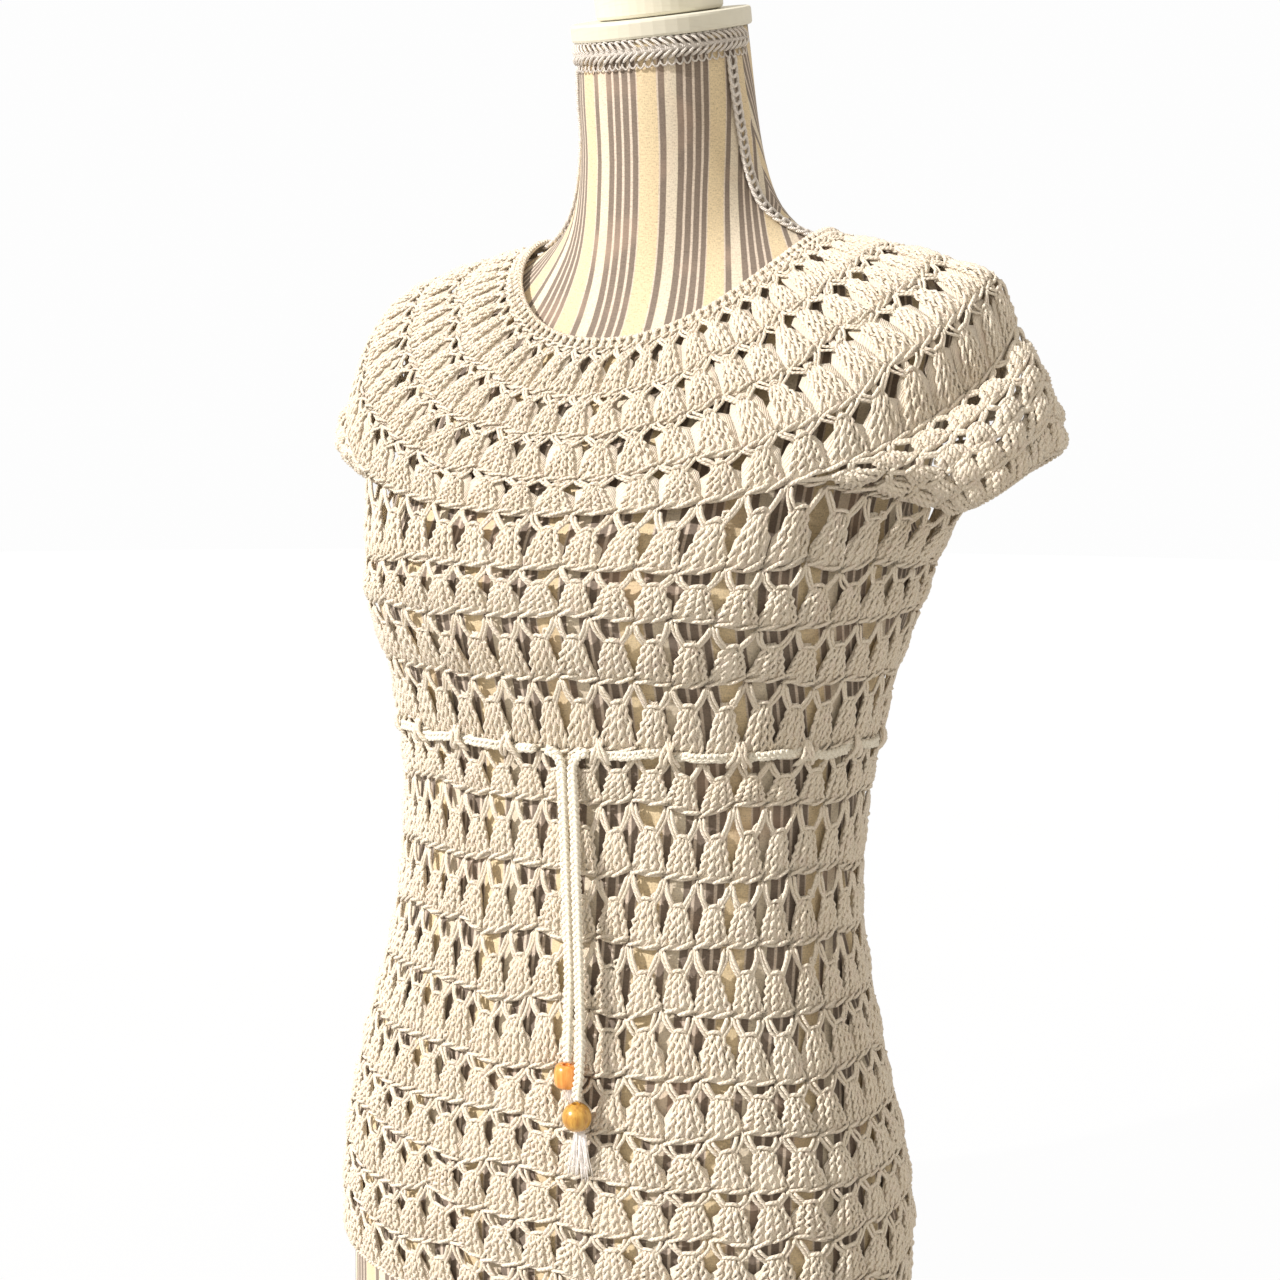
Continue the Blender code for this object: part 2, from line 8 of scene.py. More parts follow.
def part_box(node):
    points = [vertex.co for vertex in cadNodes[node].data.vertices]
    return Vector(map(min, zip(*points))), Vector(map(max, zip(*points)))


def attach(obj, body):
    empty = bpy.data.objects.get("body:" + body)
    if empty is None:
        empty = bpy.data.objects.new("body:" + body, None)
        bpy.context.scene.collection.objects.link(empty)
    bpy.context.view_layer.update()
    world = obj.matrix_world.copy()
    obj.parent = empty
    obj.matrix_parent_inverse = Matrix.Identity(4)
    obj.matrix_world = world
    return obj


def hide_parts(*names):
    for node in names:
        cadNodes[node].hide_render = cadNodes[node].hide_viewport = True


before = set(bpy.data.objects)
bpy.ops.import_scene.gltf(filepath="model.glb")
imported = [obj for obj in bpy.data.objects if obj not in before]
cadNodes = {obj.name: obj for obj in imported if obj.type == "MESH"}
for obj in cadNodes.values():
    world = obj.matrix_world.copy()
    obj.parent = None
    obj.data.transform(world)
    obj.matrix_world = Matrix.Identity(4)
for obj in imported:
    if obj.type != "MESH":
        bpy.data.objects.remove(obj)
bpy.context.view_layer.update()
bpy.ops.object.select_all(action="DESELECT")
print("frame loaded:", len(cadNodes), "parts")

mm = 0.001


# ---- camera and light

cameraSettings = {"place": (0.5575, -1.0058, 0.506), "heading": 29, "pitch": 84.1, "roll": 0.4,
                  "lens": 57.94, "shift": 0.00703}

bpy.ops.object.camera_add()
camera = bpy.context.object
camera.name = "view_camera"
turn = (Matrix.Rotation(math.radians(cameraSettings["heading"]), 4, "Z")
        @ Matrix.Rotation(math.radians(cameraSettings["pitch"]), 4, "X")
        @ Matrix.Rotation(math.radians(cameraSettings["roll"]), 4, "Z"))
camera.matrix_world = Matrix.Translation(cameraSettings["place"]) @ turn
camera.data.lens = cameraSettings["lens"]
camera.data.sensor_width = 36
camera.data.shift_x = cameraSettings["shift"]
camera.data.clip_start, camera.data.clip_end = 0.02, 60
bpy.context.scene.camera = camera

lightSettings = {"towards": (-0.5, -0.68, 0.54), "keyPower": 4.6, "keySoftness": 2.0,
                 "keyColour": (1, 0.955, 0.925), "skyPower": 0.76, "skyColour": (1.0, 0.93, 0.84)}

bpy.ops.object.light_add(type="SUN", location=(-0.6, -1.6, 1.8))
keyLight = bpy.context.object
keyLight.name = "key_light"
keyLight.data.energy = lightSettings["keyPower"]
keyLight.data.angle = math.radians(lightSettings["keySoftness"])
keyLight.data.color = lightSettings["keyColour"]
keyLight.rotation_mode = "QUATERNION"
keyLight.rotation_quaternion = Vector(lightSettings["towards"]).to_track_quat("Z", "Y")

bpy.context.scene.view_settings.view_transform = "Standard"
studio = bpy.data.worlds.new("studio")
bpy.context.scene.world = studio
studio.use_nodes = True
sky = studio.node_tree.nodes["Background"]
sky.inputs["Color"].default_value = (*lightSettings["skyColour"], 1)
sky.inputs["Strength"].default_value = lightSettings["skyPower"]


# ---- materials

class Wire:
    # a shader socket that can stand in a sum, so 1 - wire and wire * 2 add Math nodes
    def __init__(self, look, socket):
        self.look, self.socket = look, socket

    def maths(self, operation, *terms):
        return self.look.add("Math", {"operation": operation}, terms)

    def __add__(self, other):
        return self.maths("ADD", self, other)

    def __sub__(self, other):
        return self.maths("SUBTRACT", self, other)

    def __rsub__(self, other):
        return self.maths("SUBTRACT", other, self)

    def __mul__(self, other):
        return self.maths("MULTIPLY", self, other)

    def __truediv__(self, other):
        return self.maths("DIVIDE", self, other)

    def __pow__(self, other):
        return self.maths("POWER", self, other)

    __radd__ = __add__
    __rmul__ = __mul__

    def wave(self):
        # 0 to 1 and back for each whole step of the value
        return self.maths("SINE", self * (2 * math.pi)) * 0.5 + 0.5

    def fract(self):
        return self.maths("FRACT", self)


class Look:
    # a material being made, with its Principled shader
    def __init__(self, name, **surface):
        self.material = bpy.data.materials.new(name)
        self.material.use_nodes = True
        self.tree = self.material.node_tree
        self.shader = self.tree.nodes["Principled BSDF"]
        for socket, value in surface.items():
            self.shader.inputs[socket.replace("_", " ")].default_value = value

    def add(self, kind, settings=(), values=(), output=0):
        node = self.tree.nodes.new("ShaderNode" + kind)
        for key, value in dict(settings).items():
            if key == "stops":
                ramp = node.color_ramp.elements
                while len(ramp) < len(value):
                    ramp.new(1)
                for element, (place, colour) in zip(ramp, value):
                    element.position, element.color = place, (*colour, 1)
            elif key == "interpolation":
                node.color_ramp.interpolation = value
            else:
                setattr(node, key, value)
        for key, value in (values.items() if isinstance(values, dict) else enumerate(values)):
            if isinstance(value, Wire):
                self.tree.links.new(value.socket, node.inputs[key])
            else:
                node.inputs[key].default_value = value
        return Wire(self, node.outputs[output])

    def noise(self, place, scale, detail=2.0, roughness=0.5, output=0):
        return self.add("TexNoise", {}, {"Vector": place, "Scale": scale, "Detail": detail,
                                         "Roughness": roughness}, output)

    def stretched(self, place, scale):
        return self.add("Mapping", {}, {"Vector": place, "Scale": scale})

    def blend(self, factor, first, second, way="MIX"):
        first = first if isinstance(first, Wire) else (*first, 1)
        second = second if isinstance(second, Wire) else (*second, 1)
        return self.add("Mix", {"data_type": "RGBA", "blend_type": way},
                        {0: factor, 6: first, 7: second}, 2)

    def ramp(self, value, stops, interpolation="LINEAR"):
        return self.add("ValToRGB", {"stops": stops, "interpolation": interpolation}, [value])

    def objectPlace(self):
        return self.add("TexCoord", output="Object")

    def mapPlace(self, name):
        return self.add("UVMap", {"uv_map": name})

    def split(self, vector):
        node = self.add("SeparateXYZ", {}, [vector]).socket.node
        return [Wire(self, socket) for socket in node.outputs]

    def feed(self, **wires):
        for socket, wire in wires.items():
            self.tree.links.new(wire.socket, self.shader.inputs[socket.replace("_", " ")])

    def bump(self, height, strength, distance):
        bumped = self.add("Bump", {}, {"Height": height, "Strength": strength, "Distance": distance})
        self.feed(Normal=bumped)


def srgb(red, green, blue):
    # a colour as it looks on a screen, 0 to 255, in the shader's own numbers
    values = [v / 255 for v in (red, green, blue)]
    return tuple(v / 12.92 if v <= 0.04045 else ((v + 0.055) / 1.055) ** 2.4 for v in values)


yarnSettings = {"light": (243, 236, 221), "warm": (233, 220, 198), "pink": (240, 226, 212),
                "shade": (186, 164, 136), "plyLength": 2.3, "plies": 2}


def yarnLook(name, settings, bumpStrength=0.55):
    look = Look(name, Roughness=0.86, Sheen_Weight=0.25, Sheen_Roughness=0.5)
    place = look.objectPlace()
    along, around, _ = look.split(look.mapPlace("yarn"))
    twist = (along / settings["plyLength"] + around * settings["plies"]).wave()
    fibre = look.noise(look.stretched(look.mapPlace("yarn"), (2.2, 14, 1)), 1, 3, 0.7)
    patch = look.noise(place, 38, 2, 0.6)
    tint = look.noise(place, 210, 1, 0.5)
    tone = look.add("Attribute", {"attribute_name": "tone"}, output=2)
    colour = look.blend(patch, srgb(*settings["light"]), srgb(*settings["warm"]))
    colour = look.blend(look.ramp(tint, [(0.5, (0, 0, 0)), (0.75, (0.7, 0.7, 0.7))]),
                        colour, srgb(*settings["pink"]))
    # painted shade: the grooves between the plies, and yarn set darker where it lies deeper or behind, are blended
    # towards the shade colour
    dark = (1 - twist) * 0.1 + (1 - tone) * 0.5
    colour = look.blend(dark.maths("MINIMUM", dark, 0.85), colour, srgb(*settings["shade"]))
    # loose fibres: a fine grain that lifts the yarn, and painted shade that darkens its hollows
    fuzz = look.noise(place, 1500, 2, 0.6)
    hollowShade = look.ramp(fuzz, [(0.34, (0.74, 0.7, 0.66)), (0.5, (1, 1, 1))])
    look.feed(Base_Color=look.blend(0.55, colour, hollowShade, "MULTIPLY"))
    look.bump(twist + fibre * 0.5 + fuzz * 1.4, bumpStrength, 0.0007)
    return look.material


cottonYarn = yarnLook("cotton_yarn", yarnSettings)
ivoryCord = yarnLook("ivory_plait", {"light": (248, 243, 229), "warm": (239, 232, 214),
                                     "pink": (240, 235, 220), "shade": (196, 186, 162),
                                     "plyLength": 1.7, "plies": 3}, 0.4)
silverBraid = yarnLook("silver_ivory_yarn", {"light": (253, 249, 242), "warm": (244, 236, 226),
                                             "pink": (244, 237, 232), "shade": (198, 184, 168),
                                             "plyLength": 0.9, "plies": 2}, 0.7)
for socket, value in {"Roughness": 0.36, "Sheen Weight": 0.1, "Coat Weight": 0.15}.items():
    silverBraid.node_tree.nodes["Principled BSDF"].inputs[socket].default_value = value

tickingSettings = {"yellow": (219, 201, 165), "cream": (219, 208, 187), "pale": (214, 200, 184),
                   "taupe": (128, 115, 103)}


def tickingLook():
    look = Look("ticking_stripes", Roughness=0.9, Sheen_Weight=0.15)
    place = look.objectPlace()
    threads = look.mapPlace("ticking")
    across, down, _ = look.split(threads)
    wobble = look.noise(place, 45, 2, 0.5)
    stripe = (across + wobble * 0.012).fract()
    yellow, cream, pale, taupe = (srgb(*tickingSettings[k]) for k in ("yellow", "cream", "pale", "taupe"))
    edges = [(0, yellow), (0.262, pale), (0.283, taupe), (0.368, cream), (0.524, taupe), (0.616, pale),
             (0.652, taupe), (0.742, pale), (0.778, taupe), (0.868, pale), (0.905, taupe), (0.982, pale)]
    # a soft change at each edge: the stop is doubled, a thread's width apart
    stops = []
    for (start, colour), (_, before) in zip(edges[1:], edges):
        stops += [(start - 0.005, before), (start + 0.005, colour)]
    stops = [(0, yellow)] + stops + [(0.996, pale), (1, yellow)]
    colour = look.ramp(stripe, stops[:16])
    second = look.ramp(stripe, [(0.7, taupe)] + [s for s in stops if s[0] > 0.7])
    colour = look.blend(look.add("Math", {"operation": "GREATER_THAN"}, [stripe, 0.7]), colour, second)
    # heathered threads, drawn out along and across the cloth
    warp = look.noise(look.stretched(threads, (60, 800, 1)), 1, 3, 0.7)
    weft = look.noise(look.stretched(threads, (14, 1900, 1)), 1, 2, 0.6)
    heather = warp * 0.6 + weft * 0.4
    lift = look.ramp(heather, [(0.36, (0.62, 0.59, 0.56)), (0.5, (1, 1, 1)), (0.66, (1.2, 1.19, 1.16))])
    colour = look.blend(0.9, colour, lift, "MULTIPLY")
    blush = look.noise(place, 26, 2, 0.5)
    colour = look.blend(look.ramp(blush, [(0.55, (0, 0, 0)), (0.8, (0.35, 0.35, 0.35))]), colour,
                        srgb(226, 190, 164))
    look.feed(Base_Color=colour)
    weave = (across * 62).wave() * 0.5 + (down * 1400).wave() * 0.5 + heather
    look.bump(weave, 0.35, 0.0004)
    return look.material


def woodLook(name, light, dark, speck):
    look = Look(name, Roughness=0.3, Coat_Weight=0.6, Coat_Roughness=0.18)
    place = look.objectPlace()
    grain = look.noise(look.stretched(place, (420, 420, 70)), 1, 4, 0.65)
    pores = look.noise(look.stretched(place, (900, 900, 260)), 1, 2, 0.5)
    colour = look.ramp(grain, [(0.32, srgb(*dark)), (0.55, srgb(*light)), (0.75, srgb(*speck))])
    colour = look.blend(look.ramp(pores, [(0.62, (0, 0, 0)), (0.72, (0.6, 0.6, 0.6))]), colour, srgb(*dark))
    look.feed(Base_Color=colour)
    look.bump(grain, 0.15, 0.0003)
    return look.material


def paintLook():
    look = Look("cream_paint_worn", Coat_Weight=0.2, Coat_Roughness=0.4)
    place = look.objectPlace()
    brush = look.noise(look.stretched(place, (30, 30, 700)), 1, 3, 0.6)
    patch = look.noise(place, 22, 3, 0.6)
    colour = look.blend(patch, srgb(224, 222, 207), srgb(214, 209, 190))
    colour = look.blend(look.ramp(brush, [(0.55, (0, 0, 0)), (0.8, (0.4, 0.4, 0.4))]), colour, srgb(196, 190, 168))
    look.feed(Base_Color=colour, Roughness=brush * 0.2 + 0.38)
    look.bump(brush, 0.12, 0.0004)
    return look.material


def floorLook():
    look = Look("pale_floor", Roughness=0.9, Specular_IOR_Level=0.1, Emission_Strength=0.975)
    grain = look.noise(look.objectPlace(), 3, 2, 0.5)
    colour = look.blend(grain, (0.985, 0.985, 0.985), (1, 1, 1))
    look.feed(Emission_Color=colour)
    look.shader.inputs["Base Color"].default_value = (0.012, 0.012, 0.012, 1)
    return look.material


def backdropLook():
    look = Look("white_backdrop", Roughness=1.0, Specular_IOR_Level=0.0, Emission_Strength=0.985)
    look.shader.inputs["Base Color"].default_value = (0, 0, 0, 1)
    look.shader.inputs["Emission Color"].default_value = (1, 1, 1, 1)
    return look.material


print("materials mixed")


# ---- the cloth's surfaces: the same rounds as the solid, in millimetres

# side x, side y, side z, front y, front z, back y, back z, squareness, dip
clothRounds = {
    "bandTop": (90, 60, 616, -36, 553, 120, 602, 2.2, 1.5),
    "neckline": (97, 60, 612, -42, 547, 124, 596, 2.2, 1.5),
    "yoke1": (127, 60, 606, -66, 523, 136, 572, 2.2, 1.45),
    "yoke2": (158, 59, 598, -85, 501, 142, 546, 2.2, 1.35),
    "yoke3": (188, 58, 587, -98, 480, 142, 517, 2.2, 1.15),
    "split": (200, 56, 560, -105, 462, 136, 482, 2.1, 0.8),
    "underarm": (163, 42, 464, -106, 462, 130, 476, 2.4, 1.0),
}
# height, side x, side y, front y, back y, squareness
bodyLevels = [
    (436, 161, 33, -116, 125, 2.4), (414, 157, 20, -117, 120, 2.4), (392, 151, 14, -112, 115, 2.3),
    (369, 145, 10, -104, 110, 2.2), (339, 140, 7, -97.5, 102.5, 2.15), (312, 137, 4, -95, 96, 2.15),
    (280, 135, -1, -96, 92, 2.15), (246, 136, -4, -99, 91, 2.15), (212, 141, -7, -104, 95, 2.15),
    (178, 149, -11, -109, 101, 2.15), (145, 157, -14, -113, 107, 2.15), (112, 165, -14, -116, 113, 2.15),
    (74, 170, -14, -117, 115, 2.15), (34, 169, -15, -116, 112, 2.15),
]
formRounds = [
    (47.5, 31, 724, -16.5, 712.2, 78.5, 735.8, 2.0, 1.0), (48, 34, 711, -14, 699, 82, 723, 2.0, 1.0),
    (49, 37, 694, -12, 680, 86, 703, 2.0, 1.1), (50.5, 43.5, 673, -9, 649, 92, 663, 2.0, 1.4),
    (54.5, 48, 650, -9.5, 614, 98, 633, 2.0, 1.6), (62, 52, 631, -13, 589, 103, 614, 2.0, 1.6),
    (76, 56, 616, -19, 570, 109, 600, 2.1, 1.6), (97, 58, 606, -26.5, 556, 116, 588, 2.1, 1.5),
    (125, 58, 603.2, -36.5, 545, 126, 575, 2.1, 1.4), (151, 58, 588, -49.5, 533, 132, 562, 2.1, 1.4),
    (168, 57, 570, -62, 521, 135, 548, 2.1, 1.4), (168, 54, 543, -74, 508, 136, 532, 2.1, 1.3),
    (163, 48, 516, -85, 493, 135, 513, 2.1, 1.2), (156, 42, 488, -93, 478, 131, 490, 2.2, 1.0),
    (150, 36, 462, -100, 458, 124, 462, 2.4, 1.0),
]
steps, sideSteps = 16, 8
armAngle, sideAngle = math.radians(50), math.radians(38)
formInset = 4
sleeveSettings = {"left": {"underarm": 178, "reach": 46.5, "halfDepth": (51, 48), "rise": 28,
                           "drop": 12.5, "lift": 6.5, "bulge": (-2.5, 2.5, 6)},
                  "right": {"underarm": 157, "reach": 37, "halfDepth": (36, 36), "rise": 26,
                            "drop": 3, "lift": 3, "bulge": (4, 3.5, 2)}}


def signedPower(values, power):
    return np.sign(values) * np.abs(values) ** power


def roundPoints(row, angles):
    # the wearer's left side is at angle 0, the front at -90 degrees
    sideX, sideY, sideZ, frontY, frontZ, backY, backZ, square, dip = row
    cosine, sine = np.cos(angles), np.sin(angles)
    reach, fall = np.abs(sine) ** (2 / square), np.abs(sine) ** dip
    middleY = np.where(sine < 0, frontY, backY)
    middleZ = np.where(sine < 0, frontZ, backZ)
    return np.stack((sideX * signedPower(cosine, 2 / square), sideY + (middleY - sideY) * reach,
                     sideZ + (middleZ - sideZ) * fall), -1)


def levelPoints(row, angles, inset=0):
    height, sideX, sideY, frontY, backY, square = row
    return roundPoints((sideX - inset, sideY, height, frontY + inset, height, backY - inset, height,
                        square, 1.0), angles)


def blockAngles(half, count):
    front = np.linspace(half - math.pi, -half, steps + 1)[:-1]
    left = np.linspace(-half, half, count + 1)[:-1]
    back = np.linspace(half, math.pi - half, steps + 1)[:-1]
    right = np.linspace(math.pi - half, math.pi + half, count + 1)[:-1]
    return np.concatenate((front, left, back, right))


def sideOfTop(side):
    angles = np.linspace(-sideAngle, sideAngle, sideSteps + 1)
    row = (sleeveSettings[side]["underarm"],) + clothRounds["underarm"][1:]
    points = roundPoints(row, angles)
    corners = roundPoints(clothRounds["split"], np.array([-armAngle, armAngle]))
    fade = np.abs(angles)[:, None] / sideAngle
    return points + np.where(angles[:, None] < 0, corners[0] - points[0], corners[1] - points[-1]) * fade


def mirrored(points):
    return points * np.array([-1, 1, 1])


def evenly(points, count):
    # a closed line cut in equal lengths
    points = np.concatenate((points, points[:1]))
    walked = np.concatenate(([0], np.cumsum(np.linalg.norm(np.diff(points, axis=0), axis=1))))
    places = np.linspace(0, walked[-1], count + 1)[:-1]
    return np.column_stack([np.interp(places, walked, points[:, axis]) for axis in range(3)])


gridColumns = 96
allRound = np.linspace(-math.pi / 2, math.pi * 1.5, 721)[:-1]   # from the middle of the front, to the left


def ringGrid(names):
    return [evenly(roundPoints(clothRounds[name], allRound), gridColumns) for name in names]


def bodyGrid():
    split = roundPoints(clothRounds["split"], blockAngles(armAngle, steps))
    top = np.concatenate((split[steps // 2:steps], sideOfTop("left")[:-1], split[2 * steps:3 * steps],
                          mirrored(sideOfTop("right"))[::-1][:-1], split[:steps // 2]))
    return [evenly(top, gridColumns)] + [evenly(levelPoints(row, allRound), gridColumns)
                                         for row in bodyLevels]


def sleeveGrid(side):
    sizes = sleeveSettings[side]
    half = sideSteps // 2
    across = np.linspace(0, 1, steps + 1)[None, :, None]
    down = np.linspace(0, 1, half + 1)[:, None, None]
    top = roundPoints(clothRounds["split"], np.linspace(-armAngle, armAngle, steps + 1))
    edge = sideOfTop(side)
    frontEnd, backEnd = edge[:half + 1], edge[::-1][:half + 1]
    swing = np.linspace(0, math.pi, steps + 1)
    outward, forward = np.sin(swing), np.sin(2 * swing)
    depth = np.where(forward > 0, *sizes["halfDepth"]) * forward
    tilt = np.where(forward > 0, sizes["drop"], sizes["lift"]) * forward
    hem = frontEnd[-1] + np.column_stack((sizes["reach"] * outward, -depth,
                                          sizes["rise"] * outward - tilt))
    along = (1 - down) * top + down * hem
    ends = (1 - across) * frontEnd[:, None, :] + across * backEnd[:, None, :]
    corners = ((1 - down) * ((1 - across) * top[0] + across * top[-1])
               + down * ((1 - across) * hem[0] + across * hem[-1]))
    out, apart, up = sizes["bulge"]
    puff = np.sin(math.pi * down) * np.sin(math.pi * across)
    grid = along + ends - corners + np.concatenate(
        (out * puff, -apart * np.cos(math.pi * across) * puff, up * puff), axis=2)
    return grid if side == "left" else mirrored(grid)[:, ::-1]


class Surface:
    # a smooth sheet through a grid of points: rows run down, columns from right over the front to left
    def __init__(self, grid, closed):
        grid = np.asarray(grid, float) * mm
        self.rows, self.columns = grid.shape[:2]
        self.closed = closed
        grid = np.concatenate((2 * grid[:1] - grid[1:2], grid, 2 * grid[-1:] - grid[-2:-1],
                               3 * grid[-1:] - 2 * grid[-2:-1]))
        if closed:
            grid = np.concatenate((grid[:, -1:], grid, grid[:, :2]), axis=1)
        else:
            grid = np.concatenate((2 * grid[:, :1] - grid[:, 1:2], grid, 2 * grid[:, -1:] - grid[:, -2:-1],
                                   3 * grid[:, -1:] - 2 * grid[:, -2:-1]), axis=1)
        self.grid = grid

    @staticmethod
    def weights(t):
        squared, cubed = t * t, t * t * t
        place = (-0.5 * cubed + squared - 0.5 * t, 1.5 * cubed - 2.5 * squared + 1,
                 -1.5 * cubed + 2 * squared + 0.5 * t, 0.5 * cubed - 0.5 * squared)
        slope = (-1.5 * squared + 2 * t - 0.5, 4.5 * squared - 5 * t,
                 -4.5 * squared + 4 * t + 0.5, 1.5 * squared - t)
        return place, slope

    def at(self, row, column):
        if self.closed:
            column = np.mod(column, self.columns)
        lastColumn = self.columns - (0 if self.closed else 1)
        row, column = np.clip(row, -0.9, self.rows - 0.1), np.clip(column, -0.9, lastColumn + 0.9)
        rowLine, columnLine = np.floor(row).astype(int), np.floor(column).astype(int)
        rowLine = np.clip(rowLine, 0, self.rows - 1)
        columnLine = np.clip(columnLine, 0, max(lastColumn - 1, 0) if not self.closed else lastColumn - 1)
        (rowPlace, rowSlope) = self.weights(row - rowLine)
        (columnPlace, columnSlope) = self.weights(column - columnLine)
        point = down = across = 0
        for i in range(4):
            for j in range(4):
                knot = self.grid[rowLine + i, columnLine + j]
                point = point + knot * (rowPlace[i] * columnPlace[j])[..., None]
                down = down + knot * (rowSlope[i] * columnPlace[j])[..., None]
                across = across + knot * (rowPlace[i] * columnSlope[j])[..., None]
        normal = np.cross(down, across)
        return point, normal / np.maximum(np.linalg.norm(normal, axis=-1, keepdims=True), 1e-12)


yokeSurface = Surface(ringGrid(("neckline", "yoke1", "yoke2", "yoke3", "split")), True)
bandSurface = Surface(ringGrid(("bandTop", "neckline")), True)
bodySurface = Surface(bodyGrid(), True)
sleeveSurfaces = {side: Surface(sleeveGrid(side), False) for side in ("left", "right")}


# ---- yarn: tubes laid along many lines at once and joined in one mesh

class Yarn:
    def __init__(self):
        self.parts = []
        self.count = 0

    def lay(self, lines, outward, radius, sides=4, tone=1.0):
        # lines: number x points x 3 in metres. Each tube is closed by a point at both ends.
        lines = np.asarray(lines, float)
        number, points = lines.shape[:2]
        outward = np.broadcast_to(outward, lines.shape)
        along = np.gradient(lines, axis=1)
        along /= np.maximum(np.linalg.norm(along, axis=-1, keepdims=True), 1e-12)
        side = np.cross(along, outward)
        side /= np.maximum(np.linalg.norm(side, axis=-1, keepdims=True), 1e-12)
        up = np.cross(side, along)
        radius = np.broadcast_to(np.asarray(radius, float), (number, points))[:, 1:-1, None, None]
        angles = np.arange(sides) * 2 * math.pi / sides
        rings = lines[:, 1:-1, None] + radius * (up[:, 1:-1, None] * np.cos(angles)[:, None]
                                                 + side[:, 1:-1, None] * np.sin(angles)[:, None])
        ringCount = points - 2
        each = ringCount * sides + 2
        verts = np.concatenate((rings.reshape(number, -1, 3), lines[:, :1], lines[:, -1:]), axis=1)
        ring, spoke = np.meshgrid(np.arange(ringCount - 1), np.arange(sides), indexing="ij")
        ring, spoke = ring.ravel(), spoke.ravel()
        after = (spoke + 1) % sides
        quads = np.column_stack((ring * sides + spoke, ring * sides + after,
                                 (ring + 1) * sides + after, (ring + 1) * sides + spoke))
        spokes = np.arange(sides)
        nexts = (spokes + 1) % sides
        last = (ringCount - 1) * sides
        tris = np.concatenate((
            np.column_stack((np.full(sides, ringCount * sides), nexts, spokes)),
            np.column_stack((np.full(sides, ringCount * sides + 1), last + spokes, last + nexts))))
        length = np.concatenate((np.zeros((number, 1)), np.cumsum(
            np.linalg.norm(np.diff(lines, axis=1), axis=-1), axis=1)), axis=1) / mm
        length = length + np.arange(number)[:, None] * 7.31 % 23
        # yarn map: millimetres along, turns around
        quadU = length[:, np.column_stack((ring + 1, ring + 1, ring + 2, ring + 2))]
        quadV = np.broadcast_to(np.column_stack((spoke, spoke + 1, spoke + 1, spoke)) / sides, quadU.shape)
        zero, one = np.zeros(sides, int), np.ones(sides, int)
        triU = length[:, np.concatenate((np.column_stack((zero, one, one)),
                                         np.column_stack((zero + points - 1, zero + points - 2,
                                                          zero + points - 2))))]
        triV = np.broadcast_to(np.concatenate((np.column_stack((spokes + 0.5, spokes + 1, spokes)),
                                               np.column_stack((spokes + 0.5, spokes, spokes + 1)))) / sides,
                               triU.shape)
        shift = self.count + (np.arange(number) * each)[:, None, None]
        tonesAndShades = np.repeat(np.broadcast_to(np.asarray(tone, float), (number,)), each)
        self.parts.append((verts.reshape(-1, 3), (quads + shift).reshape(-1, 4), (tris + shift).reshape(-1, 3),
                           np.stack((quadU, quadV), -1).reshape(-1, 2),
                           np.stack((triU, triV), -1).reshape(-1, 2), tonesAndShades))
        self.count += number * each

    def patch(self, points, normals, thickness, tone=1.0):
        # thin closed scraps of cloth: number x rows x columns x 3, rows running down
        number, rows, columns = points.shape[:3]
        back = points - normals * thickness
        verts = np.concatenate((points.reshape(number, -1, 3), back.reshape(number, -1, 3)), axis=1)
        row, column = (a.ravel() for a in np.meshgrid(np.arange(rows - 1), np.arange(columns - 1), indexing="ij"))
        first = row * columns + column
        front = np.column_stack((first, first + columns, first + columns + 1, first + 1))
        each = rows * columns
        rim = np.concatenate((np.arange(columns), np.arange(1, rows) * columns + columns - 1,
                              each - 2 - np.arange(columns - 1), np.arange(rows - 2, 0, -1) * columns))
        after = np.roll(rim, -1)
        quads = np.concatenate((front, front[:, ::-1] + each,
                                np.column_stack((rim, after, after + each, rim + each))))
        down = np.concatenate((np.zeros((number, 1, columns)), np.cumsum(np.linalg.norm(
            np.diff(points, axis=1), axis=-1), axis=1)), axis=1).reshape(number, -1) / mm
        wide = np.concatenate((np.zeros((number, rows, 1)), np.cumsum(np.linalg.norm(
            np.diff(points, axis=2), axis=-1), axis=2)), axis=2).reshape(number, -1) / mm / 3.2
        corner = quads % each
        shift = self.count + (np.arange(number) * each * 2)[:, None, None]
        tonesAndShades = np.repeat(np.broadcast_to(np.asarray(tone, float), (number,)), each * 2)
        self.parts.append((verts.reshape(-1, 3), (quads + shift).reshape(-1, 4), np.zeros((0, 3), int),
                           np.stack((down[:, corner], wide[:, corner]), -1).reshape(-1, 2),
                           np.zeros((0, 2)), tonesAndShades))
        self.count += number * each * 2

    def knit(self, name, material, slot, nodes):
